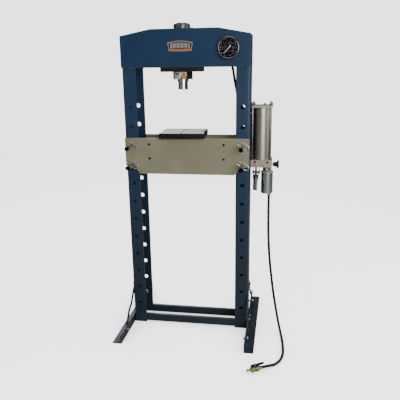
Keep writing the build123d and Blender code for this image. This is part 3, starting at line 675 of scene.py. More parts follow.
BADGE_COPPER = Metal("badge_copper", (0.6, 0.42, 0.33, 1), (0.46, 0.3, 0.22, 1), 0.32, metallic=0.4)
GLASS = Lens("gauge_glass")
PAPER = Seamless("paper", (0.93, 0.93, 0.93, 1.0), (0.4, 0.4, 0.4, 1.0), 2.7)


# ---- meshes --------------------------------------------------------------------------------------


def linked(name: str, data: bpy.types.ID) -> bpy.types.Object:
    """Make an object and put it in the scene.

    Args:
        name: Its name.
        data: Its mesh, curve, light or camera.

    Returns:
        The object.
    """
    made = bpy.data.objects.new(name, data)
    bpy.context.scene.collection.objects.link(made)
    return made


def as_mesh(tool: bmesh.types.BMesh, name: str = "piece") -> bpy.types.Mesh:
    """Turn a bmesh into a mesh.

    Args:
        tool: The bmesh, which is used up.
        name: The mesh's name.

    Returns:
        The mesh.
    """
    mesh = bpy.data.meshes.new(name)
    tool.to_mesh(mesh)
    tool.free()
    return mesh


def place(name: str, mesh: bpy.types.Mesh, finish: Finish | None, body: str, smooth: bool = True
          ) -> bpy.types.Object:
    """Put a mesh in the scene and let it ride on a body.

    Args:
        name: The piece's name.
        mesh: Its mesh, in the row's frame.
        finish: Its finish, or None where the mesh has materials already.
        body: The body that it moves with.
        smooth: Whether its shallow angles are shaded smooth.

    Returns:
        The piece.
    """
    mesh.name = name
    piece = linked(name, mesh)
    if finish:
        mesh.materials.clear()
        mesh.materials.append(finish.material())
    if smooth:
        mesh.shade_smooth()
        mesh.set_sharp_from_angle(angle=SMOOTH_ANGLE)
    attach(piece, body)
    LOG.info("%s rides on %s", name, body)
    return piece


def finished(tool: bmesh.types.BMesh) -> bpy.types.Mesh:
    """Turn a bmesh into a mesh whose faces point outwards.

    Args:
        tool: The bmesh, which is used up.

    Returns:
        The mesh.
    """
    bmesh.ops.remove_doubles(tool, verts=tool.verts, dist=1e-6)
    bmesh.ops.recalc_face_normals(tool, faces=tool.faces)
    return as_mesh(tool)


def basis(origin: Point, axis: Point, up: Point = (0, 0, 1)) -> Matrix:
    """A frame whose Z runs along an axis.

    Args:
        origin: Where the frame stands.
        axis: The direction of its Z.
        up: What its Y leans to.

    Returns:
        The frame as a matrix.
    """
    along = Vector(axis).normalized()
    lean = Vector(up)
    if abs(along.dot(lean)) > 0.99:
        lean = Vector((0, 1, 0))
    across = lean.cross(along).normalized()
    matrix = Matrix((across, along.cross(across), along)).transposed().to_4x4()
    matrix.translation = Vector(origin)
    return matrix


def turned(profile: Iterable[tuple[float, float]], origin: Point, axis: Point, segments: int = 64
           ) -> bpy.types.Mesh:
    """Spin a closed outline of (radius, height) points about an axis.

    Args:
        profile: The outline, in millimetres.
        origin: Foot of the axis, in metres.
        axis: Its direction.
        segments: Steps round the turn.

    Returns:
        The closed mesh.
    """
    tool = bmesh.new()
    corners = [(radius * MM, height * MM) for radius, height in profile]
    rings = []
    for step in range(segments):
        angle = 2 * math.pi * step / segments
        rings.append([tool.verts.new((r * math.cos(angle), r * math.sin(angle), h)) for r, h in corners])
    for step in range(segments):
        first, second = rings[step], rings[(step + 1) % segments]
        for index in range(len(corners)):
            follow = (index + 1) % len(corners)
            quad = [first[index], first[follow], second[follow], second[index]]
            if corners[index][0] > 1e-9 or corners[follow][0] > 1e-9:
                tool.faces.new(quad)
    bmesh.ops.remove_doubles(tool, verts=tool.verts, dist=1e-7)
    bmesh.ops.dissolve_degenerate(tool, edges=tool.edges, dist=1e-7)
    mesh = finished(tool)
    mesh.transform(basis(origin, axis))
    return mesh


def prism(outline: Sequence[tuple[float, float]], frame_at: Matrix, thickness: float, bevel: float = 0.0
          ) -> bpy.types.Mesh:
    """Extrude an outline along its frame's Z.

    Args:
        outline: Corner points in metres, in the frame's XY.
        frame_at: The frame.
        thickness: Height along Z, in metres.
        bevel: Width of the rounded edges, in metres.

    Returns:
        The closed mesh.
    """
    tool = bmesh.new()
    face = tool.faces.new([tool.verts.new((x, y, 0)) for x, y in outline])
    top = bmesh.ops.extrude_face_region(tool, geom=[face])["geom"]
    moved = [item for item in top if isinstance(item, bmesh.types.BMVert)]
    bmesh.ops.translate(tool, verts=moved, vec=(0, 0, thickness))
    if bevel:
        bmesh.ops.bevel(tool, geom=list(tool.edges), offset=bevel, segments=2, affect="EDGES",
                        clamp_overlap=True)
    mesh = finished(tool)
    mesh.transform(frame_at)
    return mesh


def skinned(tool: bmesh.types.BMesh, rings: Sequence[Sequence[bmesh.types.BMVert]]) -> bpy.types.Mesh:
    """Join four-cornered rings into a closed bar.

    Args:
        tool: The bmesh that holds the rings, which is used up.
        rings: The rings in order.

    Returns:
        The closed mesh.
    """
    for first, second in zip(rings, rings[1:]):
        for index in range(4):
            follow = (index + 1) % 4
            tool.faces.new((first[index], first[follow], second[follow], second[index]))
    tool.faces.new(rings[0])
    tool.faces.new(list(reversed(rings[-1])))
    return finished(tool)


def joined(name: str, parts: Sequence[tuple[bpy.types.Mesh, Finish]], body: str) -> bpy.types.Object:
    """Join meshes of several finishes into one piece.

    Args:
        name: The piece's name.
        parts: Each mesh with its finish.
        body: The body that it rides on.

    Returns:
        The piece.
    """
    tool = bmesh.new()
    finishes: list[Finish] = []
    for mesh, finish in parts:
        if finish not in finishes:
            finishes.append(finish)
        start = len(tool.faces)
        tool.from_mesh(mesh)
        tool.faces.ensure_lookup_table()
        for index in range(start, len(tool.faces)):
            tool.faces[index].material_index = finishes.index(finish)
    whole = as_mesh(tool, name)
    for finish in finishes:
        whole.materials.append(finish.material())
    return place(name, whole, None, body)


class Softener:
    """Makes a copy of a CAD node with small rounded edges, and stands it in the node's place."""

    def __init__(self, width: float) -> None:
        """Set the rounding.

        Args:
            width: Width of the rounded edges in metres.
        """
        self.width = width

    def stand_in(self, node: str, finish: Finish, slot: str) -> bpy.types.Object:
        """Replace one CAD node.

        Args:
            node: The node's name.
            finish: The copy's finish.
            slot: The record's material slot; not used.

        Returns:
            The copy.
        """
        source = frame["nodes"][node]
        tool = bmesh.new()
        tool.from_mesh(source.data)
        bmesh.ops.remove_doubles(tool, verts=tool.verts, dist=2e-6)
        bmesh.ops.dissolve_limit(tool, angle_limit=FLAT_ANGLE, verts=tool.verts, edges=tool.edges)
        mesh = as_mesh(tool, node + "_look")
        piece = place(node + "_look", mesh, finish, source["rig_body"], smooth=False)
        mesh.polygons.foreach_set("use_smooth", [True] * len(mesh.polygons))
        mesh.set_sharp_from_angle(angle=SHARP_ANGLE)
        bevel = piece.modifiers.new("round_edges", "BEVEL")
        bevel.width = self.width
        bevel.segments = 2
        bevel.limit_method = "ANGLE"
        bevel.angle_limit = BEVEL_ANGLE
        bevel.use_clamp_overlap = True
        bevel.harden_normals = True
        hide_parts(node)
        return piece


def paint_node(node: str, finish: Finish) -> None:
    """Give a CAD node a finish in place of its plain one.

    Args:
        node: The node's name.
        finish: Its finish.
    """
    mesh = frame["nodes"][node].data
    if not mesh.materials:
        mesh.materials.append(None)
    for index in range(len(mesh.materials)):
        mesh.materials[index] = finish.material()


def stand_ins(width: float, rows: Sequence[tuple[str, Finish, str]]) -> None:
    """Replace several CAD nodes by softened copies.

    Args:
        width: Width of their rounded edges in metres.
        rows: Each node's name, finish and material slot.
    """
    for row in rows:
        Softener(width).stand_in(*row)


# ---- geometry nodes ------------------------------------------------------------------------------


class Repeater:
    """A Geometry Nodes tree that repeats one shape, and the runs that turn it into plain meshes."""

    def __init__(self, name: str, inputs: Sequence[tuple[str, str, object]]) -> None:
        """Open a tree with named inputs.

        Args:
            name: The tree's name.
            inputs: Name, socket type and default of each input.
        """
        self.tree = bpy.data.node_groups.new(name, "GeometryNodeTree")
        self.tree.interface.new_socket(name="Geometry", in_out="INPUT", socket_type="NodeSocketGeometry")
        self.ids: dict[str, str] = {}
        for label, kind, default in inputs:
            socket = self.tree.interface.new_socket(name=label, in_out="INPUT", socket_type=kind)
            if default is not None:
                socket.default_value = default
            self.ids[label] = socket.identifier
        self.tree.interface.new_socket(name="Geometry", in_out="OUTPUT", socket_type="NodeSocketGeometry")
        self.graph = Graph(self.tree)
        self.given = self.graph.add("NodeGroupInput").outputs

    def close(self, points: bpy.types.NodeSocket, shape: bpy.types.NodeSocket, turn: object, size: object
              ) -> None:
        """Put the shape on each point and dress the copies.

        Args:
            points: The points' geometry.
            shape: The repeated shape's geometry.
            turn: Rotation of each copy.
            size: Scale of each copy.
        """
        graph = self.graph
        copies = graph.add("GeometryNodeInstanceOnPoints",
                           {"Points": points, "Instance": shape, "Rotation": turn, "Scale": size})
        self.dress(copies.outputs[0])

    def dress(self, shape: bpy.types.NodeSocket) -> None:
        """Make the geometry real, give it its material and put it out.

        Args:
            shape: The finished geometry.
        """
        real = self.graph.add("GeometryNodeRealizeInstances", {0: shape})
        inputs = {"Geometry": real.outputs[0], "Material": self.given["Material"]}
        dressed = self.graph.add("GeometryNodeSetMaterial", inputs)
        self.graph.add("NodeGroupOutput", {0: dressed.outputs[0]})

    def run(self, base: bpy.types.Mesh, **values: object) -> bpy.types.Mesh:
        """Run the tree on a base mesh.

        Args:
            base: The mesh that goes in.
            values: Input values, by name with _ for a space.

        Returns:
            The plain mesh that comes out.
        """
        holder = linked("repeat", base)
        modifier = holder.modifiers.new("repeat", "NODES")
        modifier.node_group = self.tree
        for name, value in values.items():
            modifier[self.ids[name.replace("_", " ")]] = value
        holder.update_tag()
        bpy.context.view_layer.update()
        evaluated = holder.evaluated_get(bpy.context.evaluated_depsgraph_get())
        mesh = bpy.data.meshes.new_from_object(evaluated)
        bpy.data.objects.remove(holder)
        return mesh


def ring_repeater() -> Repeater:
    """Bars spread round an arc in the XY plane, each pointing outwards.

    Returns:
        The repeater, with inputs Count, Radius, Start, Sweep, Length, Width, Height and Material.
    """
    numbers = {"Radius": 0.02, "Start": 0.0, "Sweep": 2 * math.pi, "Length": 0.002, "Width": 0.001,
               "Height": 0.001}
    kinds = [("Count", "NodeSocketInt", 12), ("Material", "NodeSocketMaterial", None)]
    kinds += [(label, "NodeSocketFloat", default) for label, default in numbers.items()]
    made = Repeater("ring_of_bars", kinds)
    graph, given = made.graph, made.given
    index = graph.add("GeometryNodeInputIndex").outputs[0]
    share = graph.math("DIVIDE", index, given["Count"])
    angle = graph.math("ADD", given["Start"], graph.math("MULTIPLY", share, given["Sweep"]))
    x = graph.math("MULTIPLY", graph.math("COSINE", angle), given["Radius"])
    y = graph.math("MULTIPLY", graph.math("SINE", angle), given["Radius"])
    spot = graph.add("ShaderNodeCombineXYZ", {0: x, 1: y}).outputs[0]
    points = graph.add("GeometryNodePoints", {"Count": given["Count"], "Position": spot}).outputs[0]
    sides = {0: given["Length"], 1: given["Width"], 2: given["Height"]}
    size = graph.add("ShaderNodeCombineXYZ", sides).outputs[0]
    shape = graph.add("GeometryNodeMeshCube", {"Size": size}).outputs[0]
    where = graph.add("GeometryNodeInputPosition").outputs[0]
    split = graph.add("ShaderNodeSeparateXYZ", {0: where}).outputs
    turn = graph.add("ShaderNodeCombineXYZ", {2: graph.math("ARCTAN2", split[1], split[0])}).outputs[0]
    made.close(points, shape, turn, (1.0, 1.0, 1.0))
    return made


def bead_repeater() -> Repeater:
    """Weld ripples: flattened drops laid close along the edges of the mesh that goes in.

    Returns:
        The repeater, with inputs Spacing, Size, Seed and Material.
    """
    kinds = [("Spacing", "NodeSocketFloat", 0.003), ("Size", "NodeSocketFloat", 0.004),
             ("Seed", "NodeSocketInt", 3), ("Material", "NodeSocketMaterial", None)]
    made = Repeater("weld_bead", kinds)
    graph, given = made.graph, made.given
    line = graph.add("GeometryNodeMeshToCurve", {0: made.given["Geometry"]}).outputs[0]
    spaced = {"Curve": line, "Length": given["Spacing"]}
    points = graph.add("GeometryNodeCurveToPoints", spaced, mode="LENGTH")
    drop = graph.add("GeometryNodeMeshUVSphere", {"Segments": 8, "Rings": 6, "Radius": given["Size"]})
    wobble = graph.add("FunctionNodeRandomValue", {"Seed": given["Seed"]}, data_type="FLOAT_VECTOR")
    wobble.inputs[0].default_value = (0.78, 0.8, 0.8)
    wobble.inputs[1].default_value = (1.05, 1.0, 1.05)
    made.close(points.outputs[0], drop.outputs[0], NO_TURN, wobble.outputs[0])
    return made


def stud_repeater() -> Repeater:
    """Round-headed studs, one on each vertex of the mesh that goes in, standing along Z.

    Returns:
        The repeater, with inputs Radius, Height and Material.
    """
    kinds = [("Radius", "NodeSocketFloat", 0.002), ("Height", "NodeSocketFloat", 0.001),
             ("Material", "NodeSocketMaterial", None)]
    made = Repeater("studs", kinds)
    graph, given = made.graph, made.given
    ball = graph.add("GeometryNodeMeshUVSphere", {"Segments": 16, "Rings": 8, "Radius": given["Radius"]})
    flat = graph.math("DIVIDE", given["Height"], given["Radius"])
    size = graph.add("ShaderNodeCombineXYZ", {0: 1.0, 1: 1.0, 2: flat}).outputs[0]
    points = graph.add("GeometryNodeMeshToPoints", {0: given["Geometry"]}).outputs[0]
    made.close(points, ball.outputs[0], NO_TURN, size)
    return made


def wire_repeater() -> Repeater:
    """Round wire along the edges of the mesh that goes in, with its bends rounded.

    Returns:
        The repeater, with inputs Radius, Bend and Material.
    """
    kinds = [("Radius", "NodeSocketFloat", 0.002), ("Bend", "NodeSocketFloat", 0.01),
             ("Material", "NodeSocketMaterial", None)]
    made = Repeater("bent_wire", kinds)
    graph, given = made.graph, made.given
    line = graph.add("GeometryNodeMeshToCurve", {0: given["Geometry"]}).outputs[0]
    bend = {"Curve": line, "Radius": given["Bend"], "Count": 10, "Limit Radius": True}
    bent = graph.add("GeometryNodeFilletCurve", bend, mode="POLY")
    section = graph.add("GeometryNodeCurvePrimitiveCircle", {"Resolution": 12, "Radius": given["Radius"]})
    sweep = {"Curve": bent.outputs[0], "Profile Curve": section.outputs[0], "Fill Caps": True}
    solid = graph.add("GeometryNodeCurveToMesh", sweep)
    made.dress(solid.outputs[0])
    return made


def path_mesh(points: Sequence[Point]) -> bpy.types.Mesh:
    """A mesh of bare edges through points.

    Args:
        points: The points in metres.

    Returns:
        The mesh.
    """
    mesh = bpy.data.meshes.new("path")
    edges = [(index, index + 1) for index in range(len(points) - 1)]
    mesh.from_pydata([tuple(point) for point in points], edges, [])
    return mesh


RING = ring_repeater()
BEAD = bead_repeater()
STUDS = stud_repeater()
WIRE = wire_repeater()


# ---- camera, floor and light ---------------------------------------------------------------------


@dataclass
class Studio:
    """Camera, pale floor and soft light."""

    position: Point = (0.4405, -2.5717, 1.3959)
    azimuth: float = 0.1632
    down: float = 0.2726
    roll: float = -0.0130
    lens: float = 44.415
    shift: tuple[float, float] = (-0.006, 0.0227)
    paper: Finish = PAPER

    def camera(self) -> None:
        """Stand the camera in front, to the right of the middle and a little above the pump."""
        data = bpy.data.cameras.new("camera")
        data.sensor_width = 36
        data.lens = self.lens
        data.shift_x, data.shift_y = self.shift
        data.clip_end = 60
        eye = linked("camera", data)
        level = math.cos(self.down)
        forward = Vector((-math.sin(self.azimuth) * level, math.cos(self.azimuth) * level,
                          -math.sin(self.down)))
        right = Vector((math.cos(self.azimuth), math.sin(self.azimuth), 0))
        up = right.cross(forward)
        tilted = math.cos(self.roll) * right + math.sin(self.roll) * up
        top = -math.sin(self.roll) * right + math.cos(self.roll) * up
        matrix = Matrix((tilted, top, -forward)).transposed().to_4x4()
        matrix.translation = Vector(self.position)
        eye.matrix_world = matrix
        bpy.context.scene.camera = eye

    def floor(self) -> None:
        """Lay a wide sheet that bends up behind the press."""
        tool = bmesh.new()
        reach, back, radius = 9.0, 5.0, 2.5
        steps = 12
        line = [(-reach, 0.0), (back, 0.0)]
        for step in range(1, steps + 1):
            angle = math.pi / 2 * step / steps
            line.append((back + radius * math.sin(angle), radius - radius * math.cos(angle)))
        line.append((back + radius, reach))
        rows = [[tool.verts.new((x, y, z)) for x in (-reach, reach)] for y, z in line]
        for low, high in zip(rows, rows[1:]):
            tool.faces.new((low[0], low[1], high[1], high[0]))
        mesh = as_mesh(tool, "floor")
        mesh.polygons.foreach_set("use_smooth", [True] * len(mesh.polygons))
        mesh.materials.append(self.paper.material())
        sheet = linked("floor", mesh)

    def light(self) -> None:
        """Hang soft boxes round the press and brighten the room."""
        boxes = [("front", (1.75, -3.4, 1.7), (0.1, 0.0, 0.8), 2.1, 84.0),
                 ("left", (-3.0, -2.2, 2.6), (0.0, 0.0, 0.8), 1.8, 17.0),
                 ("side", (3.0, 0.1, 1.7), (0.2, 0.0, 0.9), 1.6, 22.0),
                 ("top", (0.2, -0.4, 4.2), (0.0, 0.0, 0.5), 2.6, 45.0),
                 ("back", (-1.4, 3.4, 2.3), (0.0, 0.0, 0.8), 2.0, 30.0)]
        for name, spot, target, size, power in boxes:
            data = bpy.data.lights.new(name, "AREA")
            data.shape = "SQUARE"
            data.size = size
            data.energy = power
            lamp = linked(name, data)
            lamp.matrix_world = basis(spot, Vector(spot) - Vector(target))
            lamp.visible_camera = False
        world = bpy.data.worlds.new("room")
        world.use_nodes = True
        world.node_tree.nodes["Background"].inputs[0].default_value = (0.15, 0.155, 0.16, 1.0)
        bpy.context.scene.world = world

    def build(self) -> None:
        """Set up the whole studio."""
        self.camera()
        self.floor()
        self.light()


# ---- hoses ---------------------------------------------------------------------------------------


@dataclass
class AirLine:
    """The free air hose, its crimped end, ball valve and plug."""

    top: tuple[float, float, float] = (376, 0, 755)
    end: tuple[float, float, float] = (374, -463, 13.5)
    last_bend: tuple[float, float] = (404, -446)
    radius: float = 7.0
    length: float = 1.171
    stem_at: float = 38.0

    def route(self) -> list[Vector]:
        """The hose's control points, from the motor to the valve.

        Returns:
            The points in metres.
        """
        points = [self.top, (376, 0, 645), (379, -2, 525), (387, -6, 410), (400, -14, 302),
                  (414, -24, 205), (430, -39, 120), (446, -67, 50), (461, -116, 8), (470, -190, 7),
                  (475, -265, 7), (474, -330, 7), (461, -384, 7), (435, -426, 8),
                  (*self.last_bend, 13.5), self.end]
        return [Vector(point) * MM for point in points]

    def hose(self) -> bpy.types.Object:
        """Lay the hose as one smooth curve.

        Returns:
            The curve.
        """
        curve = bpy.data.curves.new("air_hose_cover", "CURVE")
        curve.dimensions = "3D"
        curve.resolution_u = 16
        curve.bevel_depth = self.radius * MM
        curve.bevel_resolution = 5
        curve.use_fill_caps = True
        spline = curve.splines.new("NURBS")
        points = self.route()
        spline.points.add(len(points) - 1)
        for knot, point in zip(spline.points, points):
            knot.co = (*point, 1.0)
        spline.order_u = 3
        spline.use_endpoint_u = True
        curve.materials.append(HOSE_RUBBER.material())
        hose = linked("air_hose_cover", curve)
        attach(hose, "frame")
        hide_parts("air_hose")
        return hose

    def lever(self) -> bpy.types.Object:
        """Bend the valve's lever and pull a dark sleeve over it.

        Returns:
            The lever, on its body.
        """
        way = (Vector((*self.end[:2], 0)) - Vector((*self.last_bend, 0))).normalized()
        stem = Vector(self.end) + way * self.stem_at
        across = Vector((0, 0, 1)).cross(way)
        at = Matrix((-way, -across, Vector((0, 0, 1)))).transposed().to_4x4()
        at.translation = stem * MM
        side = [(-20, 17.6), (10, 17.6), (16, 19.2), (47, 21.5), (47, 24.3), (15, 22.0), (9, 20.4),
                (-20, 20.4)]
        cover = [(-19, 15.4), (8, 15.6), (16, 17.6), (45, 19.6), (49, 22.8), (45, 25.8), (14, 23.8),
                 (7, 22.4), (-19, 22.2)]
        turn = at @ Matrix.Rotation(math.pi / 2, 4, "X")
        parts = []
        for outline, wide, bevel, finish in ((side, 13, 0.0006, BOLT_STEEL),
                                             (cover, 15.6, 0.0016, BLACK_PLASTIC)):
            middle = turn @ Matrix.Translation((0, 0, -wide / 2 * MM))
            parts.append((prism([(x * MM, z * MM) for x, z in outline], middle, wide * MM, bevel), finish))
        corners = [Matrix.Rotation(k * math.pi / 3, 2) @ Vector((8 * MM, 0)) for k in range(6)]
        nut = prism(corners, at @ Matrix.Translation((0, 0, 20 * MM)), 6 * MM, 0.0008)
        shank = turned([(0, 6), (3.0, 6), (3.0, 21), (0, 21)], stem * MM, (0, 0, 1), 24)
        piece = joined("valve_lever", [*parts, (nut, BOLT_STEEL), (shank, BRASS)], "valve_handle")
        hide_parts("air_valve_lever")
        return piece

    def build(self) -> None:
        """Lay the hose and dress what is on it."""
        hose = self.hose()
        paint_node("air_hose_ends", BOLT_STEEL)
        paint_node("air_valve_body", BRASS)
        nodes = frame["nodes"]
        on_it = [nodes["air_hose_ends"], nodes["air_valve_body"], self.lever()]


# ---- frame ---------------------------------------------------------------------------------------


@dataclass
class PressFrame:
    """Uprights, feet, braces, rails, head plates and their welds."""

    shift: float = -50.0
    half_width: float = 325.0
    wall: float = 6.0
    half_depth: float = 75.0
    head_low: float = 1416.0
    head_top: float = 1568.0

    def panels(self) -> None:
        """Round the edges of the plates and channels and paint them."""
        blue = ("upright_left", "upright_right", "feet", "foot_braces", "base_rails")
        stand_ins(0.0009, [(node, FRAME_BLUE, "frame_blue") for node in blue])
        plates = ("head_front_plate", "head_rear_plate")
        stand_ins(0.0012, [(node, HEAD_BLUE, "head_blue") for node in plates])
        black = ("cylinder_plates", "pump_bracket")
        stand_ins(0.001, [(node, BLACK_ENAMEL, "black_paint") for node in black])
        stand_ins(0.0006, [("frame_bolts", BOLT_STEEL, "zinc")])

    def seams(self) -> list[tuple[Vector, Vector]]:
        """The weld lines between rails and webs, and between head plates and uprights.

        Returns:
            Start and end of each seam, in metres.
        """
        lines = []
        inner = self.half_width - self.wall - 1.0
        for side in Side:
            x = side.value * inner + self.shift
            for y_low, y_high in ((-67, -48), (48, 67)):
                lines.append(((x, y_low, 47.5), (x, y_high, 47.5)))
            edge = side.value * (self.half_width - 70.0) + self.shift
            for end in (-1, 1):
                y = end * (self.half_depth + 0.5)
                lines.append(((side.value * (self.half_width - 6) + self.shift, y, self.head_low - 0.5),
                              (edge, y, self.head_low - 0.5)))
        return [(Vector(start) * MM, Vector(end) * MM) for start, end in lines]

    def welds(self) -> None:
        """Lay the weld beads, painted over with the frame's enamel."""
        tool = bmesh.new()
        for start, end in self.seams():
            tool.edges.new((tool.verts.new(start), tool.verts.new(end)))
        base = as_mesh(tool, "seams")
        mesh = BEAD.run(base, Spacing=0.0028, Size=0.0028, Seed=7, Material=FRAME_BLUE.material())
        piece = place("frame_welds", mesh, None, "frame")

    def build(self) -> None:
        """Dress the whole frame."""
        self.panels()
        self.welds()


@dataclass
class Gauge:
    """Pressure gauge: rim, glass, printed dial and needle."""

    centre: tuple[float, float] = (172.0, 1502.0)
    face_y: float = -108.0
    rim_y: float = -117.0
    scale_start: float = math.radians(228)
    scale_sweep: float = math.radians(-276)
    steps: int = 6

    def at(self, y: float) -> Matrix:
        """A frame on the gauge's axis, X to the right and Y up.

        Args:
            y: Its depth in millimetres.

        Returns:
            The frame.
        """
        return basis((self.centre[0] * MM, y * MM, self.centre[1] * MM), (0, -1, 0))

    def print_dial(self) -> None:
        """Make the dial with its ticks, numbers and red zone, and stand it in for the plain one."""
        plate = turned([(3, 0), (45.2, 0), (45.2, 1.2), (44.6, 1.5), (3, 1.5)], (0, 0, 0), (0, 0, 1), 96)
        parts = [(plate, GAUGE_BLACK)]
        start, sweep = self.scale_start, self.scale_sweep
        for count, length, width, radius in ((60, 3.0, 0.5, 39.0), (12, 6.0, 1.1, 37.5)):
            share = (count + 1) / count
            ticks = RING.run(bpy.data.meshes.new("none"), Count=count + 1, Radius=radius * MM,
                             Start=start, Sweep=sweep * share, Length=length * MM, Width=width * MM,
                             Height=0.25 * MM, Material=TICK_GREY.material())
            ticks.transform(Matrix.Translation((0, 0, 1.55 * MM)))
            parts.append((ticks, TICK_GREY))
        parts.append((self.arc_band(41.5, 0.7, 0.0, 1.0), TICK_GREY))
        parts.append((self.arc_band(35.0, 3.4, 0.83, 1.0), PRINT_RED))
        for step in range(self.steps + 1):
            angle = start + sweep * step / self.steps
            parts.append((self.figure(str(step * 10), angle, 26.5), TICK_GREY))
        for mesh, _ in parts:
            mesh.transform(self.at(self.face_y + 1.5))
        piece = joined("gauge_dial_print", parts, "frame")
        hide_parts("gauge_dial")

    def arc_band(self, radius: float, width: float, low: float, high: float) -> bpy.types.Mesh:
        """A thin printed band along part of the scale.

        Args:
            radius: Middle radius in millimetres.
            width: Width in millimetres.
            low: Start, as a share of the scale.
            high: End, as a share of the scale.

        Returns:
            The band as a closed mesh.
        """
        tool = bmesh.new()
        rings = []
        for step in range(49):
            angle = self.scale_start + self.scale_sweep * (low + (high - low) * step / 48)
            way = Vector((math.cos(angle), math.sin(angle), 0))
            inner, outer = way * (radius - width / 2) * MM, way * (radius + width / 2) * MM
            heights = (Vector((0, 0, 1.45 * MM)), Vector((0, 0, 1.62 * MM)))
            rings.append([tool.verts.new(inner + heights[0]), tool.verts.new(outer + heights[0]),
                          tool.verts.new(outer + heights[1]), tool.verts.new(inner + heights[1])])
        return skinned(tool, rings)

    @staticmethod
    def figure(text: str, angle: float, radius: float) -> bpy.types.Mesh:
        """A number on the dial.

        Args:
            text: The digits.
            angle: Where it stands on the scale.
            radius: Distance from the middle in millimetres.

        Returns:
            The digits as a mesh.
        """
        curve = bpy.data.curves.new("figure", "FONT")
        curve.body = text
        curve.size = 7.0 * MM
        curve.align_x = "CENTER"
        curve.align_y = "CENTER"
        curve.extrude = 0.1 * MM
        curve.resolution_u = 3
        holder = linked("figure", curve)
        bpy.context.view_layer.update()
        mesh = bpy.data.meshes.new_from_object(holder.evaluated_get(bpy.context.evaluated_depsgraph_get()))
        bpy.data.objects.remove(holder)
        spot = Vector((math.cos(angle) * radius, math.sin(angle) * radius, 1.58)) * MM
        mesh.transform(Matrix.Translation(spot))
        return mesh

    def rim(self) -> None:
        """Spin the rim with its rolled lip."""
        lip = [(48.2, 0.0), (51.4, 0.0), (52.0, 0.8), (52.0, 12.0), (51.6, 14.2), (50.6, 16.0),
               (49.2, 17.1), (47.6, 17.4), (46.2, 16.9), (45.2, 15.8), (45.0, 14.2), (48.2, 14.0)]
        y = self.rim_y + 12
        mesh = turned(lip, (self.centre[0] * MM, y * MM, self.centre[1] * MM), (0, -1, 0), 96)
        piece = place("gauge_rim", mesh, RIM_STEEL, "frame")
        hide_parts("gauge_bezel")

    def needle(self) -> None:
        """Cut the needle with a pointed blade and a round counterweight."""
        parts = []
        angle = self.scale_start
        blade = [(37, 0.55), (37, -0.55), (4, -1.3), (-9, -1.5), (-9, 1.5), (4, 1.3)]
        pointing = Matrix.Rotation(angle, 4, "Z")
        parts.append((prism([(x * MM, y * MM) for x, y in blade], pointing, 0.9 * MM, 0.0002), NEEDLE_WHITE))
        disc = [(0, 0), (3.4, 0), (3.5, 0.2), (3.5, 0.8), (3.2, 1.0), (0, 1.0)]
        weight = turned(disc, (0, 0, 0), (0, 0, 1), 32)
        weight.transform(pointing @ Matrix.Translation((-11.5 * MM, 0, -0.02 * MM)))
        parts.append((weight, NEEDLE_WHITE))
        knob = [(0, -1.2), (1.4, -1.2), (1.4, -0.1), (2.4, -0.1), (2.6, 0.3), (2.5, 1.6), (1.8, 2.2),
                (0, 2.3)]
        parts.append((turned(knob, (0, 0, 0), (0, 0, 1), 32), NEEDLE_WHITE))
        for mesh, _ in parts:
            mesh.transform(self.at(self.face_y - 2.6))
        piece = joined("gauge_pointer", parts, "needle")
        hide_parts("gauge_needle")

    def build(self) -> None:
        """Make the gauge."""
        stand_ins(0.0008, [("gauge_case", BLACK_ENAMEL, "black_oxide")])
        paint_node("gauge_lens", GLASS)
        for node in ("gauge_bourdon_tube", "gauge_stem", "gauge_line"):
            paint_node(node, BRASS)
        self.print_dial()
        self.rim()
        self.needle()


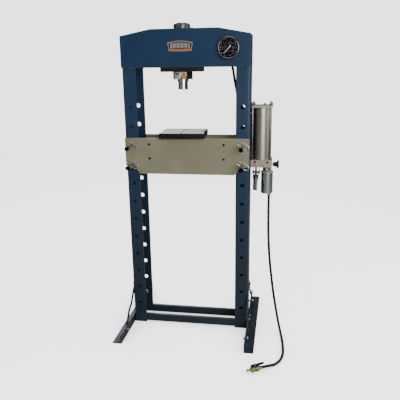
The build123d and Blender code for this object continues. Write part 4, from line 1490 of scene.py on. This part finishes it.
@dataclass
class Badge:
    """Arched plate on the head: copper rim, dark field with silver ribs and studs, and an orange band."""

    centre: float = -69.0
    low: float = 1490.0
    face: float = -87.0
    width: float = 127.0
    height: float = 50.0
    taper: float = 7.0
    rise: float = 8.0
    belly: float = 2.5

    def outline(self, inset: float, steps: int = 14) -> list[tuple[float, float]]:
        """The plate's outline, set in all round.

        Args:
            inset: How far in, in millimetres.
            steps: Points along each bowed edge.

        Returns:
            Corner points in metres.
        """
        top_half, low_half = self.width / 2 - inset, self.width / 2 - self.taper - inset
        top, low = self.height - self.rise - inset, self.belly + inset
        points = []
        for step in range(steps + 1):
            share = step / steps * 2 - 1
            points.append((share * low_half, low - self.belly * (1 - share * share)))
        for step in range(steps + 1):
            share = 1 - step / steps * 2
            points.append((share * top_half, top + self.rise * (1 - share * share)))
        return [(x * MM, y * MM) for x, y in points]

    def build(self) -> None:
        """Press the plate, fill it and stud it."""
        at = basis((self.centre * MM, self.face * MM, self.low * MM), (0, -1, 0))
        rim = prism(self.outline(0), at, 1.3 * MM, 0.0003)
        parts = [(rim, BADGE_COPPER)]
        lift = at @ Matrix.Translation((0, 0, 1.1 * MM))
        parts.append((prism(self.outline(4.2), lift, 0.35 * MM), BADGE_FIELD))
        band = self.outline(4.6)
        low = band[:len(band) // 2]
        strip = low + [(x, y + 7.5 * MM) for x, y in reversed(low)]
        parts.append((prism(strip, lift, 0.6 * MM), BADGE_ORANGE))
        for index in range(15):
            x = (index - 7) * 6.8
            high = self.height - self.rise + self.rise * (1 - (x / 62) ** 2) - 8.5
            low_z = 15.5 + 0.4 * (index % 2)
            box = ((x - 1.1, low_z), (x + 1.1, low_z), (x + 1.1, high), (x - 1.1, high))
            rib = [(across * MM, rise * MM) for across, rise in box]
            parts.append((prism(rib, lift, 0.7 * MM, 0.0002), BADGE_SILVER))
        studs = bpy.data.meshes.new("studs")
        spots = [(-53.5, 7.2), (53.5, 7.2), (-57.5, 36.5), (57.5, 36.5)]
        studs.from_pydata([(x * MM, y * MM, 0) for x, y in spots], [], [])
        heads = STUDS.run(studs, Radius=1.5 * MM, Height=0.8 * MM, Material=BADGE_SILVER.material())
        heads.transform(at @ Matrix.Translation((0, 0, 1.2 * MM)))
        parts.append((heads, BADGE_SILVER))
        piece = joined("badge_plate", parts, "frame")
        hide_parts("badge")


@dataclass
class Cylinder:
    """Barrel with its sticker, ring nut, gland and the ram."""

    x: float = -75.0
    radius: float = 50.0
    low: float = 1357.0
    plate_low: float = 1394.0
    bearing: float = -74.0

    def patch(self, start: float, stop: float, low: float, high: float, lift: float, steps: int = 32
              ) -> bpy.types.Mesh:
        """A thin sheet wrapped round the barrel.

        Args:
            start: First bearing in degrees, from +X towards +Y.
            stop: Last bearing.
            low: Lower edge in millimetres.
            high: Upper edge.
            lift: Outer face above the barrel.
            steps: Steps round it.

        Returns:
            The sheet as a closed mesh.
        """
        tool = bmesh.new()
        rings = []
        for step in range(steps + 1):
            angle = math.radians(start + (stop - start) * step / steps)
            ring = []
            for radius, z in ((0.03, low), (lift, low), (lift, high), (0.03, high)):
                reach = self.radius + radius
                corner = Vector((self.x + reach * math.cos(angle), reach * math.sin(angle), z))
                ring.append(tool.verts.new(corner * MM))
            rings.append(ring)
        return skinned(tool, rings)

    def triangle(self, half: float, foot: float, height: float, lift: float, rows: int = 22
                 ) -> list[bpy.types.Mesh]:
        """A triangle on the barrel, as a stack of narrowing strips.

        Args:
            half: Half its foot, in degrees round the barrel.
            foot: Height of its foot in millimetres.
            height: Its own height.
            lift: Outer face above the barrel.
            rows: Number of strips.

        Returns:
            The strips.
        """
        strips = []
        for row in range(rows):
            reach = half * (1 - (row + 0.5) / rows)
            low = foot + row * height / rows
            start, stop = self.bearing - reach, self.bearing + reach
            strips.append(self.patch(start, stop, low, low + height / rows, lift, 8))
        return strips

    def sticker(self) -> None:
        """Wrap a plain sticker with an amber triangle round the front of the barrel."""
        low, high = self.low + 1.5, self.plate_low - 1
        parts = [(self.patch(-182, -56, low, high, 0.2), LABEL_GREEN),
                 (self.patch(-131, -58, low + 2.0, high - 1, 0.26), LABEL_PAPER)]
        parts += [(mesh, LABEL_DARK) for mesh in self.triangle(25.0, low + 1.2, 34.0, 0.32)]
        parts += [(mesh, LABEL_AMBER) for mesh in self.triangle(18.0, low + 3.6, 26.0, 0.38)]
        blocks = ((-120, 5, 20, 30), (-119, 4, 8, 14), (-107, 3, 6, 13), (-108, 4, 17, 29), (-143, 4, 7, 28))
        for middle, half, bottom, top in blocks:
            block = self.patch(middle - half, middle + half, low + bottom, low + top, 0.32)
            parts.append((block, LABEL_DARK))
        piece = joined("barrel_sticker", parts, "frame")

    def build(self) -> None:
        """Dress the cylinder and the ram."""
        stand_ins(0.0008, [("cylinder_barrel", BLACK_ENAMEL, "cylinder_paint"),
                           ("ring_nut", DULL_STEEL, "cylinder_paint"), ("rod_gland", CHROME, "zinc")])
        stand_ins(0.0006, [("ram_saddle", CHROME, "hard_chrome")])
        stand_ins(0.0004, [("ram_rod", CHROME, "bare_steel")])
        paint_node("ram_piston", GROUND_STEEL)
        paint_node("ram_return_spring", GROUND_STEEL)
        self.sticker()


@dataclass
class Bed:
    """Bed plates, spacers, pins with their clips, and the loose arbor plates."""

    pin_x: float = 291.0
    shift: float = -50.0
    clip_y: float = -105.0
    levels: tuple[float, float] = (921.0, 1021.0)
    wire: float = 2.2
    tilt: float = math.radians(38)

    def clip(self, x: float, z: float) -> bpy.types.Mesh:
        """Bend one clip: a straight leg through the pin, a bow, and a leg that springs back to it.

        Args:
            x: Middle of its pin.
            z: Height of its pin.

        Returns:
            The wire as a mesh.
        """
        along = Vector((math.cos(self.tilt), 0, -math.sin(self.tilt)))
        beside = Vector((0, -1, 0)).cross(along)
        corners = [(-31.5, 0), (29.5, 0), (29.5, 25), (-9, 24), (-17, 17.5), (-31, 16.5)]
        points = [Vector((x, self.clip_y, z)) + along * u + beside * v for u, v in corners]
        return WIRE.run(path_mesh([point * MM for point in points]), Radius=self.wire * MM, Bend=9.5 * MM,
                        Material=SPRING_WIRE.material())

    def build(self) -> None:
        """Dress the bed and bend the clips."""
        plates = ("bed_front_plate", "bed_rear_plate")
        stand_ins(0.0011, [(node, BED_CREAM, "bed_cream") for node in plates])
        stand_ins(0.0005, [("bed_spacers", BLACK_OXIDE, "zinc")])
        for word, side in (("left", Side.LEFT), ("right", Side.RIGHT)):
            stand_ins(0.0012, [(f"arbor_plate_{word}", BLACKED_PLATE, "black_oxide")])
            for level, z in zip(("lower", "upper"), self.levels):
                stand_ins(0.0006, [(f"bed_pin_{word}_{level}", PIN_STEEL, "pin_steel")])
                mesh = self.clip(side.value * self.pin_x + self.shift, z)
                piece = place(f"clip_wire_{word}_{level}", mesh, None, f"clip_{word}_{level}")
                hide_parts(f"pin_clip_{word}_{level}")


@dataclass
class Pump:
    """Air-over-oil pump on the right upright."""

    knob_z: float = 923.0
    knob_face: float = 425.0
    motor_x: float = 364.0
    muffler_z: float = 901.0

    def knob(self) -> None:
        """Mould the release knob with a ribbed rim."""
        profile = [(0, -31), (9, -31), (12.5, -29), (12.5, -13), (16, -11.5), (19.6, -10.5),
                   (20.4, -9.5), (20.4, -1.6), (19.2, -0.4), (14, -0.2), (12.5, -1.4), (0, -1.4)]
        origin = (self.knob_face * MM, 0, self.knob_z * MM)
        body = turned(profile, origin, (1, 0, 0), 72)
        ribs = RING.run(bpy.data.meshes.new("none"), Count=30, Radius=20.2 * MM, Start=0.0,
                        Sweep=2 * math.pi, Length=1.4 * MM, Width=1.9 * MM, Height=7.6 * MM,
                        Material=BLACK_PLASTIC.material())
        ribs.transform(basis(((self.knob_face - 5.6) * MM, 0, self.knob_z * MM), (1, 0, 0)))
        root = ((self.knob_face - 51) * MM, 0, self.knob_z * MM)
        stem = turned([(0, 0), (5, 0), (5, 20.5), (0, 20.5)], root, (1, 0, 0), 24)
        parts = [(body, BLACK_PLASTIC), (ribs, BLACK_PLASTIC), (stem, GROUND_STEEL)]
        piece = joined("release_knob_grip", parts, "release_valve")
        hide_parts("release_knob")

    def muffler(self) -> None:
        """Mould the oval exhaust cover with its pale felt core."""
        at = basis((self.motor_x * MM, -21 * MM, self.muffler_z * MM), (0, -1, 0))
        rim = []
        for step in range(48):
            angle = 2 * math.pi * step / 48
            rim.append((14.0 * MM * math.cos(angle), 9.5 * MM * math.sin(angle)))
        core = [(x * 0.53, y * 0.6) for x, y in rim]
        cover = prism(rim, at, 11.8 * MM, 0.0012)
        felt = prism(core, at @ Matrix.Translation((0, 0, 10.9 * MM)), 1.5 * MM, 0.0006)
        piece = joined("exhaust_cover", [(cover, BLACK_PLASTIC), (felt, WHITE_PLASTIC)], "frame")
        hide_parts("exhaust_muffler")

    def build(self) -> None:
        """Dress the pump."""
        castings = ("reservoir_cap", "pump_block")
        stand_ins(0.001, [(node, CAST_ALUMINIUM, "aluminium") for node in castings])
        stand_ins(0.0008, [("reservoir_tube", ANODISED, "aluminium"),
                           ("motor_cylinder", MOTOR_STEEL, "aluminium"),
                           ("motor_neck", CAST_ALUMINIUM, "aluminium")])
        stand_ins(0.0006, [("tie_rods", ROD_STEEL, "zinc"), ("handle_socket", SOCKET_STEEL, "zinc"),
                           ("fulcrum_bracket", BOLT_STEEL, "zinc")])
        stand_ins(0.0004, [("pump_bolts", BOLT_STEEL, "zinc")])
        stand_ins(0.0005, [("hose_fittings", BOLT_STEEL, "zinc")])
        self.muffler()
        stand_ins(0.0005, [("block_plugs", RED_PLASTIC, "red_plastic")])
        paint_node("hand_plunger", GROUND_STEEL)
        paint_node("air_piston", ANODISED)
        paint_node("air_return_spring", GROUND_STEEL)
        paint_node("oil_hose", HOSE_RUBBER)
        self.knob()


def main() -> None:
    """Build the studio and every sub-assembly in order."""
    logging.basicConfig(level=logging.INFO, format="%(name)s: %(message)s")
    for part in (Studio(), AirLine(), PressFrame(), Gauge(), Badge(), Cylinder(), Bed(), Pump()):
        part.build()
        LOG.info("built %s", type(part).__name__)


if __name__ == "__main__":
    main()
